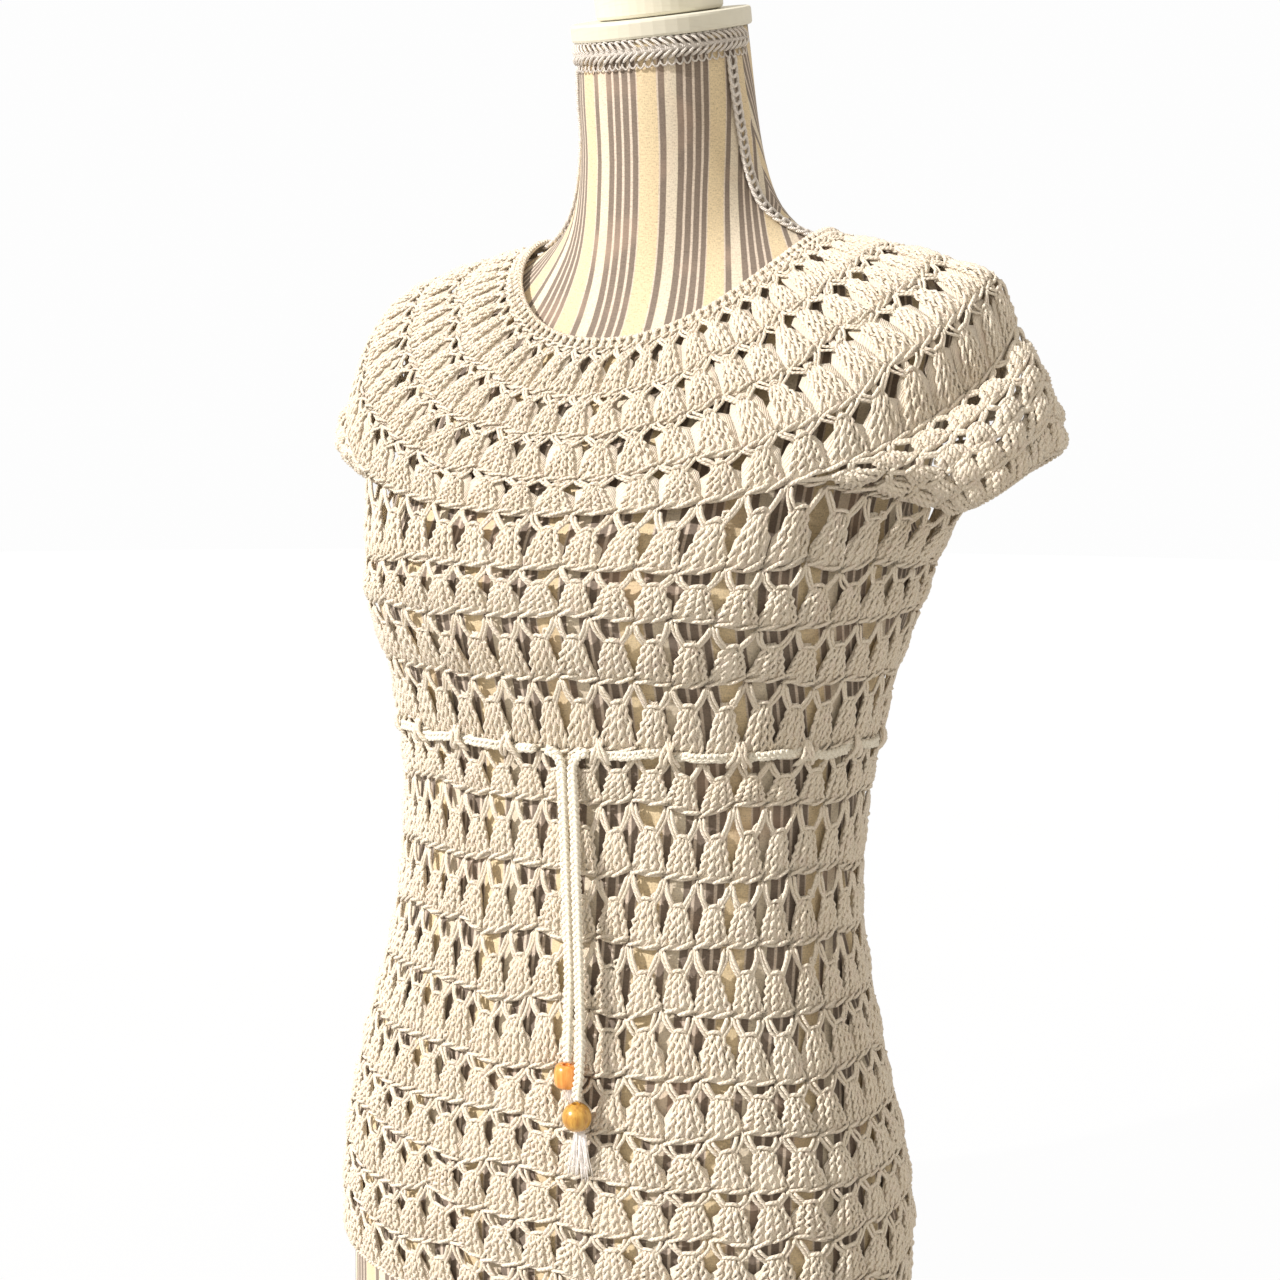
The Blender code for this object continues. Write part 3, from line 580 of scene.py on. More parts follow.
        # one mesh from all that was laid, riding on the part
        verts, quads, tris, quadMap, triMap, tonesAndShades = (np.concatenate(column) for column in zip(*self.parts))
        mesh = bpy.data.meshes.new(name)
        mesh.vertices.add(len(verts))
        mesh.vertices.foreach_set("co", verts.astype(np.float32).ravel())
        corners = np.concatenate((quads.ravel(), tris.ravel())).astype(np.int32)
        starts = np.concatenate((np.arange(len(quads)) * 4, len(quads) * 4 + np.arange(len(tris)) * 3))
        mesh.loops.add(len(corners))
        mesh.polygons.add(len(starts))
        mesh.polygons.foreach_set("loop_start", starts.astype(np.int32))
        mesh.loops.foreach_set("vertex_index", corners)
        mesh.polygons.foreach_set("use_smooth", np.ones(len(starts), bool))
        layer = mesh.uv_layers.new(name="yarn")
        layer.uv.foreach_set("vector", np.concatenate((quadMap, triMap)).astype(np.float32).ravel())
        shade = mesh.attributes.new("tone", "FLOAT", "POINT")
        shade.data.foreach_set("value", tonesAndShades.astype(np.float32))
        mesh.update(calc_edges=True)
        mesh.materials.append(material)
        piece = bpy.data.objects.new(name, mesh)
        bpy.context.scene.collection.objects.link(piece)
        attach(piece, "root")
        if nodes:
            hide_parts(*nodes)
        print(name, "laid:", 2 * len(quads) + len(tris), "triangles")
        return piece


def smoothLine(knots, points):
    # a smooth line of so many points through a few knots: the array's middle axis is the knots
    knots = np.asarray(knots, float)
    count = knots.shape[-2]
    padded = np.concatenate((2 * knots[..., :1, :] - knots[..., 1:2, :], knots,
                             2 * knots[..., -1:, :] - knots[..., -2:-1, :]), axis=-2)
    place = np.linspace(0, count - 1, points)
    line = np.minimum(place.astype(int), count - 2)
    weights, _ = Surface.weights(place - line)
    return sum(padded[..., line + i, :] * weights[i][:, None] for i in range(4))


# ---- crochet

stitchSettings = {"postTurns": 2.3, "nodeWander": 0.08, "ridgeWander": 0.06,
                  "strandWander": 0.016, "rings": 0.3}
chance = np.random.default_rng(11)


class Rounds:
    # the stitch cells of one surface: each ridge is a row place, and each node wanders a little
    def __init__(self, surface, ridges, columns, closed):
        self.surface, self.closed = surface, closed
        nodes = columns if closed else columns + 1
        wander = stitchSettings["nodeWander"]
        self.scale = (surface.columns - (0 if closed else 1)) / columns
        self.ridges = np.array(ridges, float)[:, None] + np.zeros(nodes)
        step = np.diff(self.ridges, axis=0).mean()
        waves = chance.normal(0, stitchSettings["ridgeWander"] * step, self.ridges.shape)
        waves[0] = waves[-1] = 0
        self.ridges += waves
        self.nodes = chance.uniform(-wander, wander, self.ridges.shape)
        if not closed:
            self.nodes[:, 0] = self.nodes[:, -1] = 0

    def map(self, row, column, places):
        # cell places (across, down, lift in mm) to points and normals
        row, column = row[:, None], column[:, None]
        across, down, lift = places[..., 0], places[..., 1], places[..., 2]
        after = (column + 1) % self.nodes.shape[1] if self.closed else column + 1
        blend = np.clip(across, 0, 1)

        def corners(values):
            upper = values[row, column] * (1 - blend) + values[row, after] * blend
            return upper, values[row + 1, column] * (1 - blend) + values[row + 1, after] * blend

        upper, lower = corners(self.ridges)
        upperShift, lowerShift = corners(self.nodes)
        shift = upperShift * (1 - down) + lowerShift * down
        point, normal = self.surface.at(upper + (lower - upper) * down, (column + across + shift) * self.scale)
        return point + normal * (lift * mm)[..., None], normal


def wanderOf(number, knots, amount, lift=0.2):
    return chance.normal(0, 1, (number, knots, 3)) * np.array([amount, amount * 0.6, lift])


# the spread round the middle is random; a middle lowered for cloth or yarn that lies behind is painted shade
def toneAndShadeOf(number, middle):
    return np.clip(middle + chance.normal(0, 0.1, number), 0, 1)


def groundCells(yarn, rounds, rows, columns, look):
    # the close part of each cell: a bell that spreads from the fan's top to the ridge below,
    # and in dense rounds the lower cloth between two bells
    row, column = (a.ravel() for a in np.meshgrid(rows, columns, indexing="ij"))
    down = np.array([0, 0.1, 0.28, 0.46, 0.68, 0.88, 1.0])
    begin, window = look["begin"], look["window"]
    level = begin + (1.03 - begin) * down
    fan = np.clip((level - window) / (1 - window), 0, 1)
    bell = np.interp(fan, (0, 0.1, 0.8, 0.93, 1), (look["top"] * 0.75, look["top"], look["foot"], 0.49, 0.5))
    start = look["slot"] + chance.uniform(-0.16, 0.16, len(row))[:, None]
    between = look["backing"] * np.clip((down - start) / 0.14 + 0.5, 0, 1)
    half = np.maximum(bell, between)
    across = np.array([-1, -0.62, 0, 0.62, 1])
    reach = half[..., None] * across
    places = np.zeros(reach.shape + (3,))
    places[..., 0] = 0.5 + reach + chance.normal(0, 0.01, reach.shape)
    places[..., 1] = level[:, None] + chance.normal(0, 0.006, reach.shape)
    inside = np.clip(1 - (reach / bell[:, None]) ** 2, 0, 1) ** 0.6
    rise = look["puff"] * np.sin(math.pi * np.clip(fan, 0, 0.95))[:, None] ** 0.7
    places[..., 2] = (rise + 0.7) * inside - 1.1
    point, normal = rounds.map(row, column, places.reshape(len(row), -1, 3))
    # the close cloth is set darker than the yarn: painted shade
    yarn.patch(point.reshape(places.shape), normal.reshape(places.shape), 0.8 * mm, toneAndShadeOf(len(row), look["ground"]))
    # the flat share of the cell that it covers
    share = (half[:, 1:] + half[:, :-1]) * np.diff(down)
    return float(share.sum(axis=1).mean() * (1.03 - begin))


def stitchCells(yarn, rounds, rows, columns, look):
    # the yarn of each cell: a chained ridge, four arms, and a fan of twisted posts over the bell
    row, column = (a.ravel() for a in np.meshgrid(rows, columns, indexing="ij"))
    r = look["strand"] * mm
    window, top, foot, puff = look["window"], look["top"], look["foot"], look["puff"]
    lean = chance.normal(0, 0.022, len(row))
    drop = chance.normal(0, 0.02, len(row))

    def put(knots, points, radius, sides=4, tone=1.0, follow=0.0, only=None):
        chosen = np.arange(len(row)) if only is None else only
        places = np.broadcast_to(np.array(knots, float), (len(chosen), len(knots), 3)).copy()
        places += wanderOf(len(chosen), len(knots), stitchSettings["strandWander"])
        places[..., 0] += lean[chosen, None] * follow
        places[..., 1] += drop[chosen, None] * follow
        lines, normals = rounds.map(row[chosen], column[chosen], smoothLine(places, points))
        thick = radius * (1 + chance.normal(0, 0.06, (len(chosen), 1)))
        yarn.lay(lines, normals, thick * np.ones(points), sides, toneAndShadeOf(len(chosen), tone))

    # the ridge: two slack chain loops leaning up to the right over a straight one behind
    for k in range(2):
        start = k / 2 + chance.normal(0, 0.03)
        put([(start - 0.08, 0.06, -0.5), (start + 0.12, 0.025, 0.9), (start + 0.38, -0.03, 0.9),
             (start + 0.56, -0.06, -0.5)], 6, r * 0.88)
    # the straight loop behind is set darker: painted shade
    put([(-0.04, 0.015, -0.9), (0.5, 0.04, -0.6), (1.04, 0.01, -0.9)], 5, r * 0.85, tone=0.85)
    # arms: strands side by side, down from each node and in to the fan's top
    arms = look["arms"]
    for side in (0, 1):
        for k in range(arms):
            inner = k / max(arms - 1, 1) * look["armWidth"]
            knots = np.array([(-0.02 + inner, 0.02 + 0.03 * k, 0.7 - 0.4 * k),
                              (0.03 + inner, window * 0.35, 0.5 + 0.5 * (k == 1)),
                              (0.09 + inner, window * 0.68, 0.5 + 0.5 * (k == 1)),
                              (0.36 - top * 0.6 + inner * 0.6, window * 0.98 + 0.03 * (1 - k), 0.5),
                              (0.52 - top + inner * 0.3, window + 0.13, -0.3)])
            if side:
                knots[:, 0] = 1 - knots[:, 0]
            put(knots, 6, r * 0.95, tone=1 - 0.05 * k, follow=0.5)
    # the fan: posts of two strands wound round each other, close together
    posts = look["posts"]
    points = 10
    down = np.linspace(0, 1, points)
    fullness = 1 + chance.normal(0, 0.16, (len(row), 1))
    for k in range(posts):
        spread = (k / (posts - 1) - 0.5) * 2
        phase = chance.uniform(0, 2 * math.pi, len(row))[:, None]
        wide = np.interp(down, (0, 0.2, 0.85, 1), (0.04, look["wide"], look["wide"] * 1.2, 0.07))
        middle = np.zeros((len(row), points, 3))
        middle[..., 0] = 0.5 + lean[:, None] + spread * (top * 0.8 + (foot - top * 0.8) * down ** 0.9)
        middle[..., 1] = window - 0.02 + drop[:, None] * (1 - down) + (1.0 - window + 0.02) * down
        middle[..., 2] = (puff * fullness * np.sin(math.pi * down) ** 0.7 * (1 - 0.45 * spread ** 2)
                          - 0.4 * abs(spread))
        for twin in (0, math.pi):
            swing = phase + twin + down * stitchSettings["postTurns"] * 2 * math.pi
            places = middle + wanderOf(len(row), points, 0.014, 0.15)
            places[..., 0] += wide * np.cos(swing)
            places[..., 2] += 0.7 * np.sin(swing)
            lines, normals = rounds.map(row, column, places)
            yarn.lay(lines, normals, r * 0.95, 4, toneAndShadeOf(len(row), 0.97))
    # the loop that gathers the fan's top, and a small ring beside some of them
    put([(0.45 - top, window + 0.04, -0.6), (0.5 - top * 0.5, window - 0.005, 1.4),
         (0.5 + top * 0.5, window - 0.015, 1.5), (0.55 + top, window + 0.03, -0.6)], 6, r * 0.92, follow=1)
    swing = np.linspace(0, 2 * math.pi, 9)
    ring = np.column_stack((0.56 + top + 0.1 * np.cos(swing), window - 0.05 + 0.055 * np.sin(swing),
                            0.8 + 0.3 * np.cos(swing)))
    ringed = np.nonzero(chance.random(len(row)) < stitchSettings["rings"] * look["ringed"])[0]
    if len(ringed):
        put(ring, 9, r * 0.7, follow=1, only=ringed)


# window, top and foot are shares of a cell. The close cloth starts at begin, slot is how far
# down it the cloth between two fans starts, and backing how far that reaches to each side.
# ground is its tone beside the yarn's, kept lower as painted shade on the close cloth under the yarn.
waistLook = {"strand": 1.12, "window": 0.4, "top": 0.17, "foot": 0.43, "wide": 0.065, "posts": 4,
             "puff": 1.5, "ringed": 1, "arms": 2, "armWidth": 0.09, "backing": 0, "slot": 0.5,
             "begin": 0.38, "ground": 0.9}
looks = {
    "waist": waistLook,
    "yoke": dict(waistLook, window=0.19, top=0.13, foot=0.4, puff=1.7, strand=1.02, ringed=0.3,
                 armWidth=0.14, backing=0.5, slot=0.19, begin=0.05, ground=0.8),
    "under": dict(waistLook, window=0.35, top=0.17, puff=1.6, ringed=0.8, backing=0.42, slot=0.6,
                  begin=0.33),
    "bust": dict(waistLook, window=0.3, top=0.17, puff=1.7, ringed=0.6, backing=0.47, slot=0.4,
                 begin=0.26),
    "hip": dict(waistLook, window=0.28, top=0.2, puff=1.8, ringed=0.8, armWidth=0.14, backing=0.5,
                slot=0.4, begin=0.26),
    "cap": dict(waistLook, window=0.3, top=0.2, foot=0.42, puff=2.2, strand=1.3, ringed=0.6,
                backing=0.5, slot=0.35, begin=0.26),
    "sleeve": dict(waistLook, window=0.14, top=0.26, foot=0.42, puff=3.0, strand=1.5, ringed=0.2,
                   backing=0.5, slot=0.2, wide=0.085, begin=0.08, ground=0.88),
    "shell": dict(waistLook, window=0.08, top=0.3, puff=2.8, strand=1.4, ringed=0, backing=0.47,
                  slot=0.3, wide=0.08, begin=0.03, ground=0.88),
}
stitchColumns = {"yoke": 50, "body": 43, "sleeve": 12}


def clothPiece(name, nodes, rounds, rows, columns, lookNames, held):
    # the close cloth as one thin sheet with its holes, and the yarn that lies over it
    ground, yarn, covered = Yarn(), Yarn(), []
    for row, lookName in zip(rows, lookNames):
        covered.append(groundCells(ground, rounds, [row], range(columns), looks[lookName]))
        stitchCells(yarn, rounds, [row], range(columns), looks[lookName])
    sheet = ground.knit(name + "_cloth", cottonYarn, "natural_cotton", nodes)
    strands = yarn.knit(name + "_yarn", cottonYarn, "natural_cotton", [])
    place = np.linspace(rounds.ridges[rows[0]].mean(), rounds.ridges[rows[-1] + 1].mean(), 9)
    point, _ = rounds.surface.at(*np.meshgrid(place, np.linspace(0, rounds.surface.columns - (
        0 if rounds.closed else 1), 193), indexing="ij"))
    width = float(np.linalg.norm(np.diff(point, axis=1), axis=-1).sum(axis=1).mean())
    length = float(np.linalg.norm(np.diff(point, axis=0), axis=-1).sum(axis=0).mean())
    flat = sum(covered) / len(covered) * width * length
    print(name, "flat size", round(width, 3), "x", round(length, 3), "m, cloth", round(flat, 4), "square metres")
    return sheet, strands, (width, length), flat, held


cloth = {}
yokeRounds = Rounds(yokeSurface, (0, 1, 2, 3, 4), stitchColumns["yoke"], True)
cloth["yoke"] = clothPiece("yoke", ["yoke_front", "yoke_back", "shoulder_left", "shoulder_right"], yokeRounds,
                           range(4), stitchColumns["yoke"], ["yoke"] * 4, "draped")

# ridges of the body, from the round under the yoke to the hem, as heights
ridgeHeights = (437, 410, 377, 341, 313, 276, 242, 206.5, 173, 144, 118, 91, 65, 35)
levelHeights = [row[0] for row in bodyLevels]


def bodyRow(height):
    return float(np.interp(-height, [-h for h in levelHeights], range(1, len(levelHeights) + 1)))


bodyRounds = Rounds(bodySurface, [0] + [bodyRow(height) for height in ridgeHeights],
                    stitchColumns["body"], True)
for name, rows, lookNames, nodes in (("bust", range(0, 4), ["bust", "bust", "under", "under"], ["bodice"]),
                                     ("waist", range(4, 8), ["waist"] * 4, ["skirt"]),
                                     ("belly", range(8, 11), ["hip"] * 3, ["skirt"]),
                                     ("hip", range(11, 14), ["hip"] * 3, ["skirt"])):
    cloth[name] = clothPiece(name, nodes, bodyRounds, rows, stitchColumns["body"], lookNames, "stretched")


def rope(yarn, line, outward, radius, pitch, strands, thick, sides=4, tone=1.0):
    # strands wound round a line, along its whole length
    walked = np.concatenate(([0], np.cumsum(np.linalg.norm(np.diff(line, axis=0), axis=1))))
    along = np.gradient(line, axis=0)
    side = np.cross(along, outward)
    side /= np.linalg.norm(side, axis=-1, keepdims=True)
    turn = walked / pitch * 2 * math.pi
    lines = [line + radius * (side * np.cos(turn + k * 2 * math.pi / strands)[:, None]
                              + outward * np.sin(turn + k * 2 * math.pi / strands)[:, None])
             for k in range(strands)]
    yarn.lay(lines, outward, thick, sides, toneAndShadeOf(strands, tone))


edging = {}
for side in ("left", "right"):
    sleeveRounds = Rounds(sleeveSurfaces[side], (0, 1.1, 2.1, 3.1, 3.95), stitchColumns["sleeve"], False)
    cloth["sleeve_" + side] = clothPiece("sleeve_" + side, ["sleeve_" + side], sleeveRounds, range(4),
                                         stitchColumns["sleeve"], ["cap", "cap", "sleeve", "shell"], "draped")
    yarn = Yarn()
    edge, outward = sleeveSurfaces[side].at(np.full(150, 3.98), np.linspace(0, steps, 150))
    rope(yarn, edge - outward * 0.4 * mm, outward, 0.75 * mm, 6 * mm, 2, 0.95 * mm)
    edging["sleeve_" + side] = [yarn.knit("sleeve_edge_" + side, cottonYarn, "natural_cotton", [])]

# neck band: two rounds of small upright stitches and a rolled edge
bandSettings = {"stitches": 116, "strand": 1.1}
ground = Yarn()
down, around = np.meshgrid(np.linspace(0, 1, 4), np.linspace(0, gridColumns, 193), indexing="ij")
point, normal = bandSurface.at(down, around)
# the band's close cloth is set in under the stitches and darker: painted shade
ground.patch((point - normal * 0.9 * mm)[None], normal[None], 1.2 * mm, 0.75)
bandGround = ground.knit("neck_band_cloth", cottonYarn, "natural_cotton", ["neck_band"])
yarn = Yarn()
count = bandSettings["stitches"]
column = np.arange(count) * gridColumns / count
for level in (0, 1):
    for way in (-1, 1):
        knots = np.zeros((count, 4, 3))
        knots[..., 0] = np.array([0, 0.5, 0.8, 0.2]) * way * 0.2 + chance.normal(0, 0.04, (count, 4))
        knots[..., 1] = level * 0.5 + np.array([0.0, 0.12, 0.4, 0.54])
        knots[..., 2] = np.array([-1.2, 0.6, 0.6, -1.3]) + chance.normal(0, 0.15, (count, 4))
        places = smoothLine(knots, 6)
        point, normal = bandSurface.at(places[..., 1], column[:, None] + 0.2 * way + places[..., 0])
        yarn.lay(point + normal * (places[..., 2] * mm)[..., None], normal, bandSettings["strand"] * mm, 4,
                 toneAndShadeOf(count, 0.97))
edge, outward = bandSurface.at(np.full(500, 0.03), np.linspace(0, gridColumns, 500))
rope(yarn, edge - outward * 0.6 * mm, outward, 0.8 * mm, 6.5 * mm, 2, 1.0 * mm)
# the rope in the join under the band is set in and darker: painted shade
edge, outward = bandSurface.at(np.full(400, 1.0), np.linspace(0, gridColumns, 400))
rope(yarn, edge - outward * 1.2 * mm, outward, 0.6 * mm, 7.5 * mm, 2, 0.9 * mm, tone=0.8)
bandYarn = yarn.knit("neck_band_yarn", cottonYarn, "natural_cotton", [])
edging["yoke"] = [bandGround, bandYarn]

# rolled hem
yarn = Yarn()
edge, outward = bodySurface.at(np.full(500, len(levelHeights) - 0.02), np.linspace(0, gridColumns, 500))
rope(yarn, edge - outward * 0.5 * mm, outward, 0.8 * mm, 7 * mm, 2, 1.0 * mm)
edging["hip"] = [yarn.knit("hem_edge", cottonYarn, "natural_cotton", [])]
print("crochet done")


# ---- drawstring, its ends, beads and frayed tips

cordSettings = {"width": 5.4, "strand": 1.28, "pitch": 9.5, "lift": 0.5}
# middle lines of the two ends: x, height, extra distance off the cloth, in millimetres
cordEnds = {
    "long": ((30.5, 339, 0), (26.6, 338.3, 0.2), (23.6, 336.4, 0.4), (21.9, 333.2, 0.8), (21.4, 328, 1.6),
             (24.5, 305.2, 5.9), (27.7, 278.9, 9), (30.9, 252.8, 10.7), (34.2, 226.2, 11.4),
             (36.7, 203.3, 11.5), (38.1, 188.8, 11.5), (38.2, 175.4, 10.6), (37.1, 167.1, 9.5)),
    "short": ((5.5, 339, 0), (9.4, 338.3, 0.2), (12.4, 336.4, 0.4), (14.3, 333.2, 0.8), (15.1, 328, 1.4),
              (17.5, 304.4, 4.7), (20.8, 278, 7.3), (24, 251.6, 8.5), (27.1, 224.9, 8.5),
              (28.2, 207.1, 8.2), (28.8, 193.4, 7.9), (28.9, 185.2, 7.3)),
}


def clothPoint(x, height):
    # the cloth's outer face at the front, at a distance x from the middle
    rows = bodyLevels[::-1]
    width, side, front, square = (np.interp(height, [row[0] for row in rows], [row[i] for row in rows])
                                  for i in (1, 2, 3, 5))
    reach = (1 - (abs(x) / width) ** square) ** (1 / square)
    return np.array((x, side + (front - side) * reach, height))


def plait(yarn, line, outward, tone=1.0):
    # three thick strands that cross from side to side, flat against the cloth
    walked = np.concatenate(([0], np.cumsum(np.linalg.norm(np.diff(line, axis=0), axis=1))))
    along = np.gradient(line, axis=0)
    side = np.cross(along, outward)
    side /= np.linalg.norm(side, axis=-1, keepdims=True)
    half = (cordSettings["width"] / 2 - cordSettings["strand"]) * mm
    lines = []
    for k in range(3):
        turn = walked / (cordSettings["pitch"] * mm) * 2 * math.pi + k * 2 * math.pi / 3
        lines.append(line + side * (half * 1.15 * np.sin(turn))[:, None]
                     + outward * (half * 0.75 * np.sin(2 * turn))[:, None])
    yarn.lay(lines, outward, cordSettings["strand"] * mm, 6, toneAndShadeOf(3, tone))


def spaced(line, gap):
    walked = np.concatenate(([0], np.cumsum(np.linalg.norm(np.diff(line, axis=0), axis=1))))
    places = np.linspace(0, walked[-1], max(int(walked[-1] / gap), 4) + 1)
    return np.column_stack([np.interp(places, walked, line[:, axis]) for axis in range(3)]), walked[-1]


def cordEnd(name):
    lift = cordSettings["width"] / 2 + cordSettings["lift"]
    knots = []
    for x, height, extra in cordEnds[name]:
        knots.append(clothPoint(x, height) - np.array((0, lift + extra, 0)))
    knots.append(knots[-1] - np.array((0, 0, cordSettings["width"])))
    line = smoothLine(np.array(knots) * mm, 260)
    line, length = spaced(line, 0.95 * mm)
    yarn = Yarn()
    plait(yarn, line, np.broadcast_to((0, -1.0, 0), line.shape))
    piece = yarn.knit("cord_end_plait_" + name, ivoryCord, "ivory_cord", ["cord_end_" + name])
    print("cord end", name, round(length, 4), "m")
    return piece


def turnedBead(name, profile, node, look):
    # a bead turned from half its outline, hole and all
    low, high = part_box(node)
    centre = (low + high) / 2
    mesh = bpy.data.meshes.new(name)
    points = [(centre.x + radius * mm, centre.y, centre.z + height * mm) for radius, height in profile]
    mesh.from_pydata(points, [(i, i + 1) for i in range(len(points) - 1)], [])
    piece = bpy.data.objects.new(name, mesh)
    bpy.context.scene.collection.objects.link(piece)
    bpy.ops.object.select_all(action="DESELECT")
    bpy.context.view_layer.objects.active = piece
    piece.select_set(True)
    bpy.ops.object.mode_set(mode="EDIT")
    bpy.ops.mesh.select_all(action="SELECT")
    bpy.ops.mesh.spin(steps=48, angle=2 * math.pi, center=centre, axis=(0, 0, 1), use_normal_flip=False)
    bpy.ops.mesh.select_all(action="SELECT")
    bpy.ops.mesh.remove_doubles(threshold=0.00002)
    bpy.ops.mesh.normals_make_consistent(inside=False)
    bpy.ops.object.mode_set(mode="OBJECT")
    bpy.ops.object.shade_smooth_by_angle(angle=math.radians(50))
    mesh.materials.append(look)
    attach(piece, "root")
    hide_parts(node)
    return piece


roundArc = [(7.65 * math.cos(a), 7.65 * math.sin(a)) for a in np.radians(np.linspace(-70, 70, 17))]
roundBead = turnedBead("bead_round_turned", [(0, -5.8), (1.9, -5.8), (2.1, -6.9)] + roundArc
                       + [(2.1, 6.9), (1.9, 5.8), (0, 5.8)], "bead_round",
                       woodLook("mustard_wood", (204, 156, 66), (166, 112, 38), (220, 178, 92)))
barrelBead = turnedBead("bead_barrel_turned", [(0, -5), (2.2, -5), (2.4, -5.9), (3.6, -6.25), (5.1, -5.95),
                                               (6.1, -4.9), (6.7, -2.5), (6.85, 0), (6.7, 2.5), (6.1, 4.9),
                                               (5.1, 5.95), (3.6, 6.25), (2.4, 5.9), (2.2, 5), (0, 5)],
                        "bead_barrel", woodLook("orange_wood", (232, 158, 74), (206, 116, 34), (242, 182, 108)))


def frayedTip(name, node, fibres, spread, thick):
    # loose fibres that fall and spread from under the bead
    low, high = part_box(node)
    middle = (low + high) / 2
    drop = np.linspace(0, 1, 9)
    reach = high.z - low.z
    depth = (high.y - low.y) / 2
    lines = np.zeros((fibres, 9, 3))
    way = chance.uniform(-1, 1, (fibres, 1))
    sway = chance.normal(0, 0.12, (fibres, 1))
    front = chance.uniform(-0.7, 0.7, (fibres, 1))
    fall = chance.uniform(0.72, 1.0, (fibres, 1))
    lines[..., 0] = middle.x + 0.0016 * way * (1 - drop) + spread * (way * drop ** 0.75 + sway * drop ** 2)
    lines[..., 1] = middle.y + depth * front * (0.3 + 0.6 * drop) + 0.0008 * np.sin(drop * 5 + way * 9)
    lines[..., 2] = high.z + 0.001 - reach * fall * drop
    yarn = Yarn()
    yarn.lay(lines, (0, -1.0, 0), thick * np.linspace(1, 0.55, 9), 3, toneAndShadeOf(fibres, 0.95))
    return yarn.knit(name, frayedFibre, "ivory_cord", [node])


frayedFibre = yarnLook("frayed_fibre", {"light": (253, 251, 249), "warm": (248, 243, 238),
                                        "pink": (247, 238, 240), "shade": (226, 214, 206),
                                        "plyLength": 3, "plies": 1}, 0.2)
# painted light: the fibres are given a faint glow so that they read lighter
fibreShader = frayedFibre.node_tree.nodes["Principled BSDF"]
fibreShader.inputs["Emission Color"].default_value = (1, 0.97, 0.94, 1)
fibreShader.inputs["Emission Strength"].default_value = 0.16
longTip = frayedTip("frayed_tip_long", "tassel_long", 64, 0.0078, 0.00032)
shortTip = frayedTip("frayed_tip_short", "tassel_short", 36, 0.0026, 0.00028)
longEnd = cordEnd("long")
shortEnd = cordEnd("short")


def drawstring():
    # round the eyelets, over most of the cloth and under a post at every second fan
    level = next(row for row in bodyLevels if row[0] == 339)
    lift = cordSettings["width"] / 2 + cordSettings["lift"]
    angles = np.linspace(-math.pi / 2, math.pi * 1.5, 1441)
    line = levelPoints(level, angles) * mm
    outward = np.column_stack((line[:, 0] / level[1] ** 2, (line[:, 1] - level[2] * mm) / level[3] ** 2,
                               np.zeros(len(line))))
    outward /= np.linalg.norm(outward, axis=1, keepdims=True)
    walked = np.concatenate(([0], np.cumsum(np.linalg.norm(np.diff(line, axis=0), axis=1))))
    fan = walked / walked[-1] * stitchColumns["body"]
    weave = np.cos((fan - 1.0) * math.pi)
    high = lift - 1.4 + 1.4 * np.clip(weave * 1.6, -1, 1)
    slack = 1.6 * (np.mod(fan, 2) - 1) * np.clip(weave * 2, -1, 1) ** 2 + 0.9 * np.sin(fan * 1.9 + 0.6)
    line = line + outward * (high * mm)[:, None] + np.array((0, 0, 1)) * (slack * mm)[:, None]
    # it starts and ends where the free ends leave it
    first = np.argmin(np.abs(line[:360, 0] - 0.0305))
    last = 1080 + np.argmin(np.abs(line[1080:, 0] - 0.0055)) if line[1080, 0] < 0.0055 else 1440
    for index, height in ((first, 339), (last, 339)):
        near = np.exp(-((walked - walked[index]) / 0.012) ** 2)[:, None]
        target = levelPoints(level, angles) * mm + outward * lift * mm
        line = line * (1 - near) + target * near
    kept = line[first:last + 1]
    out = outward[first:last + 1]
    resampled, length = spaced(kept, 1.6 * mm)
    place = np.linspace(0, len(out) - 1, len(resampled))
    out = np.column_stack([np.interp(place, np.arange(len(out)), out[:, axis]) for axis in range(3)])
    yarn = Yarn()
    plait(yarn, resampled, out)
    piece = yarn.knit("drawstring_plait", ivoryCord, "ivory_cord", ["drawstring"])
    print("drawstring", round(length, 3), "m")
    return piece


drawnCord = drawstring()

# posts of the cloth that cross over the drawstring, one at every second fan
yarn = Yarn()
count = stitchColumns["body"] // 2
column = np.arange(count) * 2 + 2.0
for offset in (-0.15, -0.05, 0.05, 0.15):
    knots = np.zeros((count, 5, 3))
    knots[..., 0] = column[:, None] + offset + chance.normal(0, 0.03, (count, 5))
    knots[..., 0] += np.array([-0.18, -0.08, 0, 0.1, 0.2]) * (1 if offset > 0 else -1)
    knots[..., 1] = bodyRow(340) + np.array([-0.27, -0.13, 0.02, 0.15, 0.28])
    knots[..., 2] = np.array([0.2, 3.2, 4.4, 3.2, 0.2]) + chance.normal(0, 0.2, (count, 5))
    places = smoothLine(knots, 8)
    point, normal = bodySurface.at(places[..., 1], places[..., 0] * gridColumns / stitchColumns["body"])
    yarn.lay(point + normal * (places[..., 2] * mm)[..., None], normal, 1.05 * mm, 5, toneAndShadeOf(count, 1))
edging["bust"] = [yarn.knit("posts_over_drawstring", cottonYarn, "natural_cotton", [])]
print("drawstring done")


# ---- dress form

formSettings = {"columns": 96, "repeat": 41, "lowRepeat": 46, "firstStripe": 14}


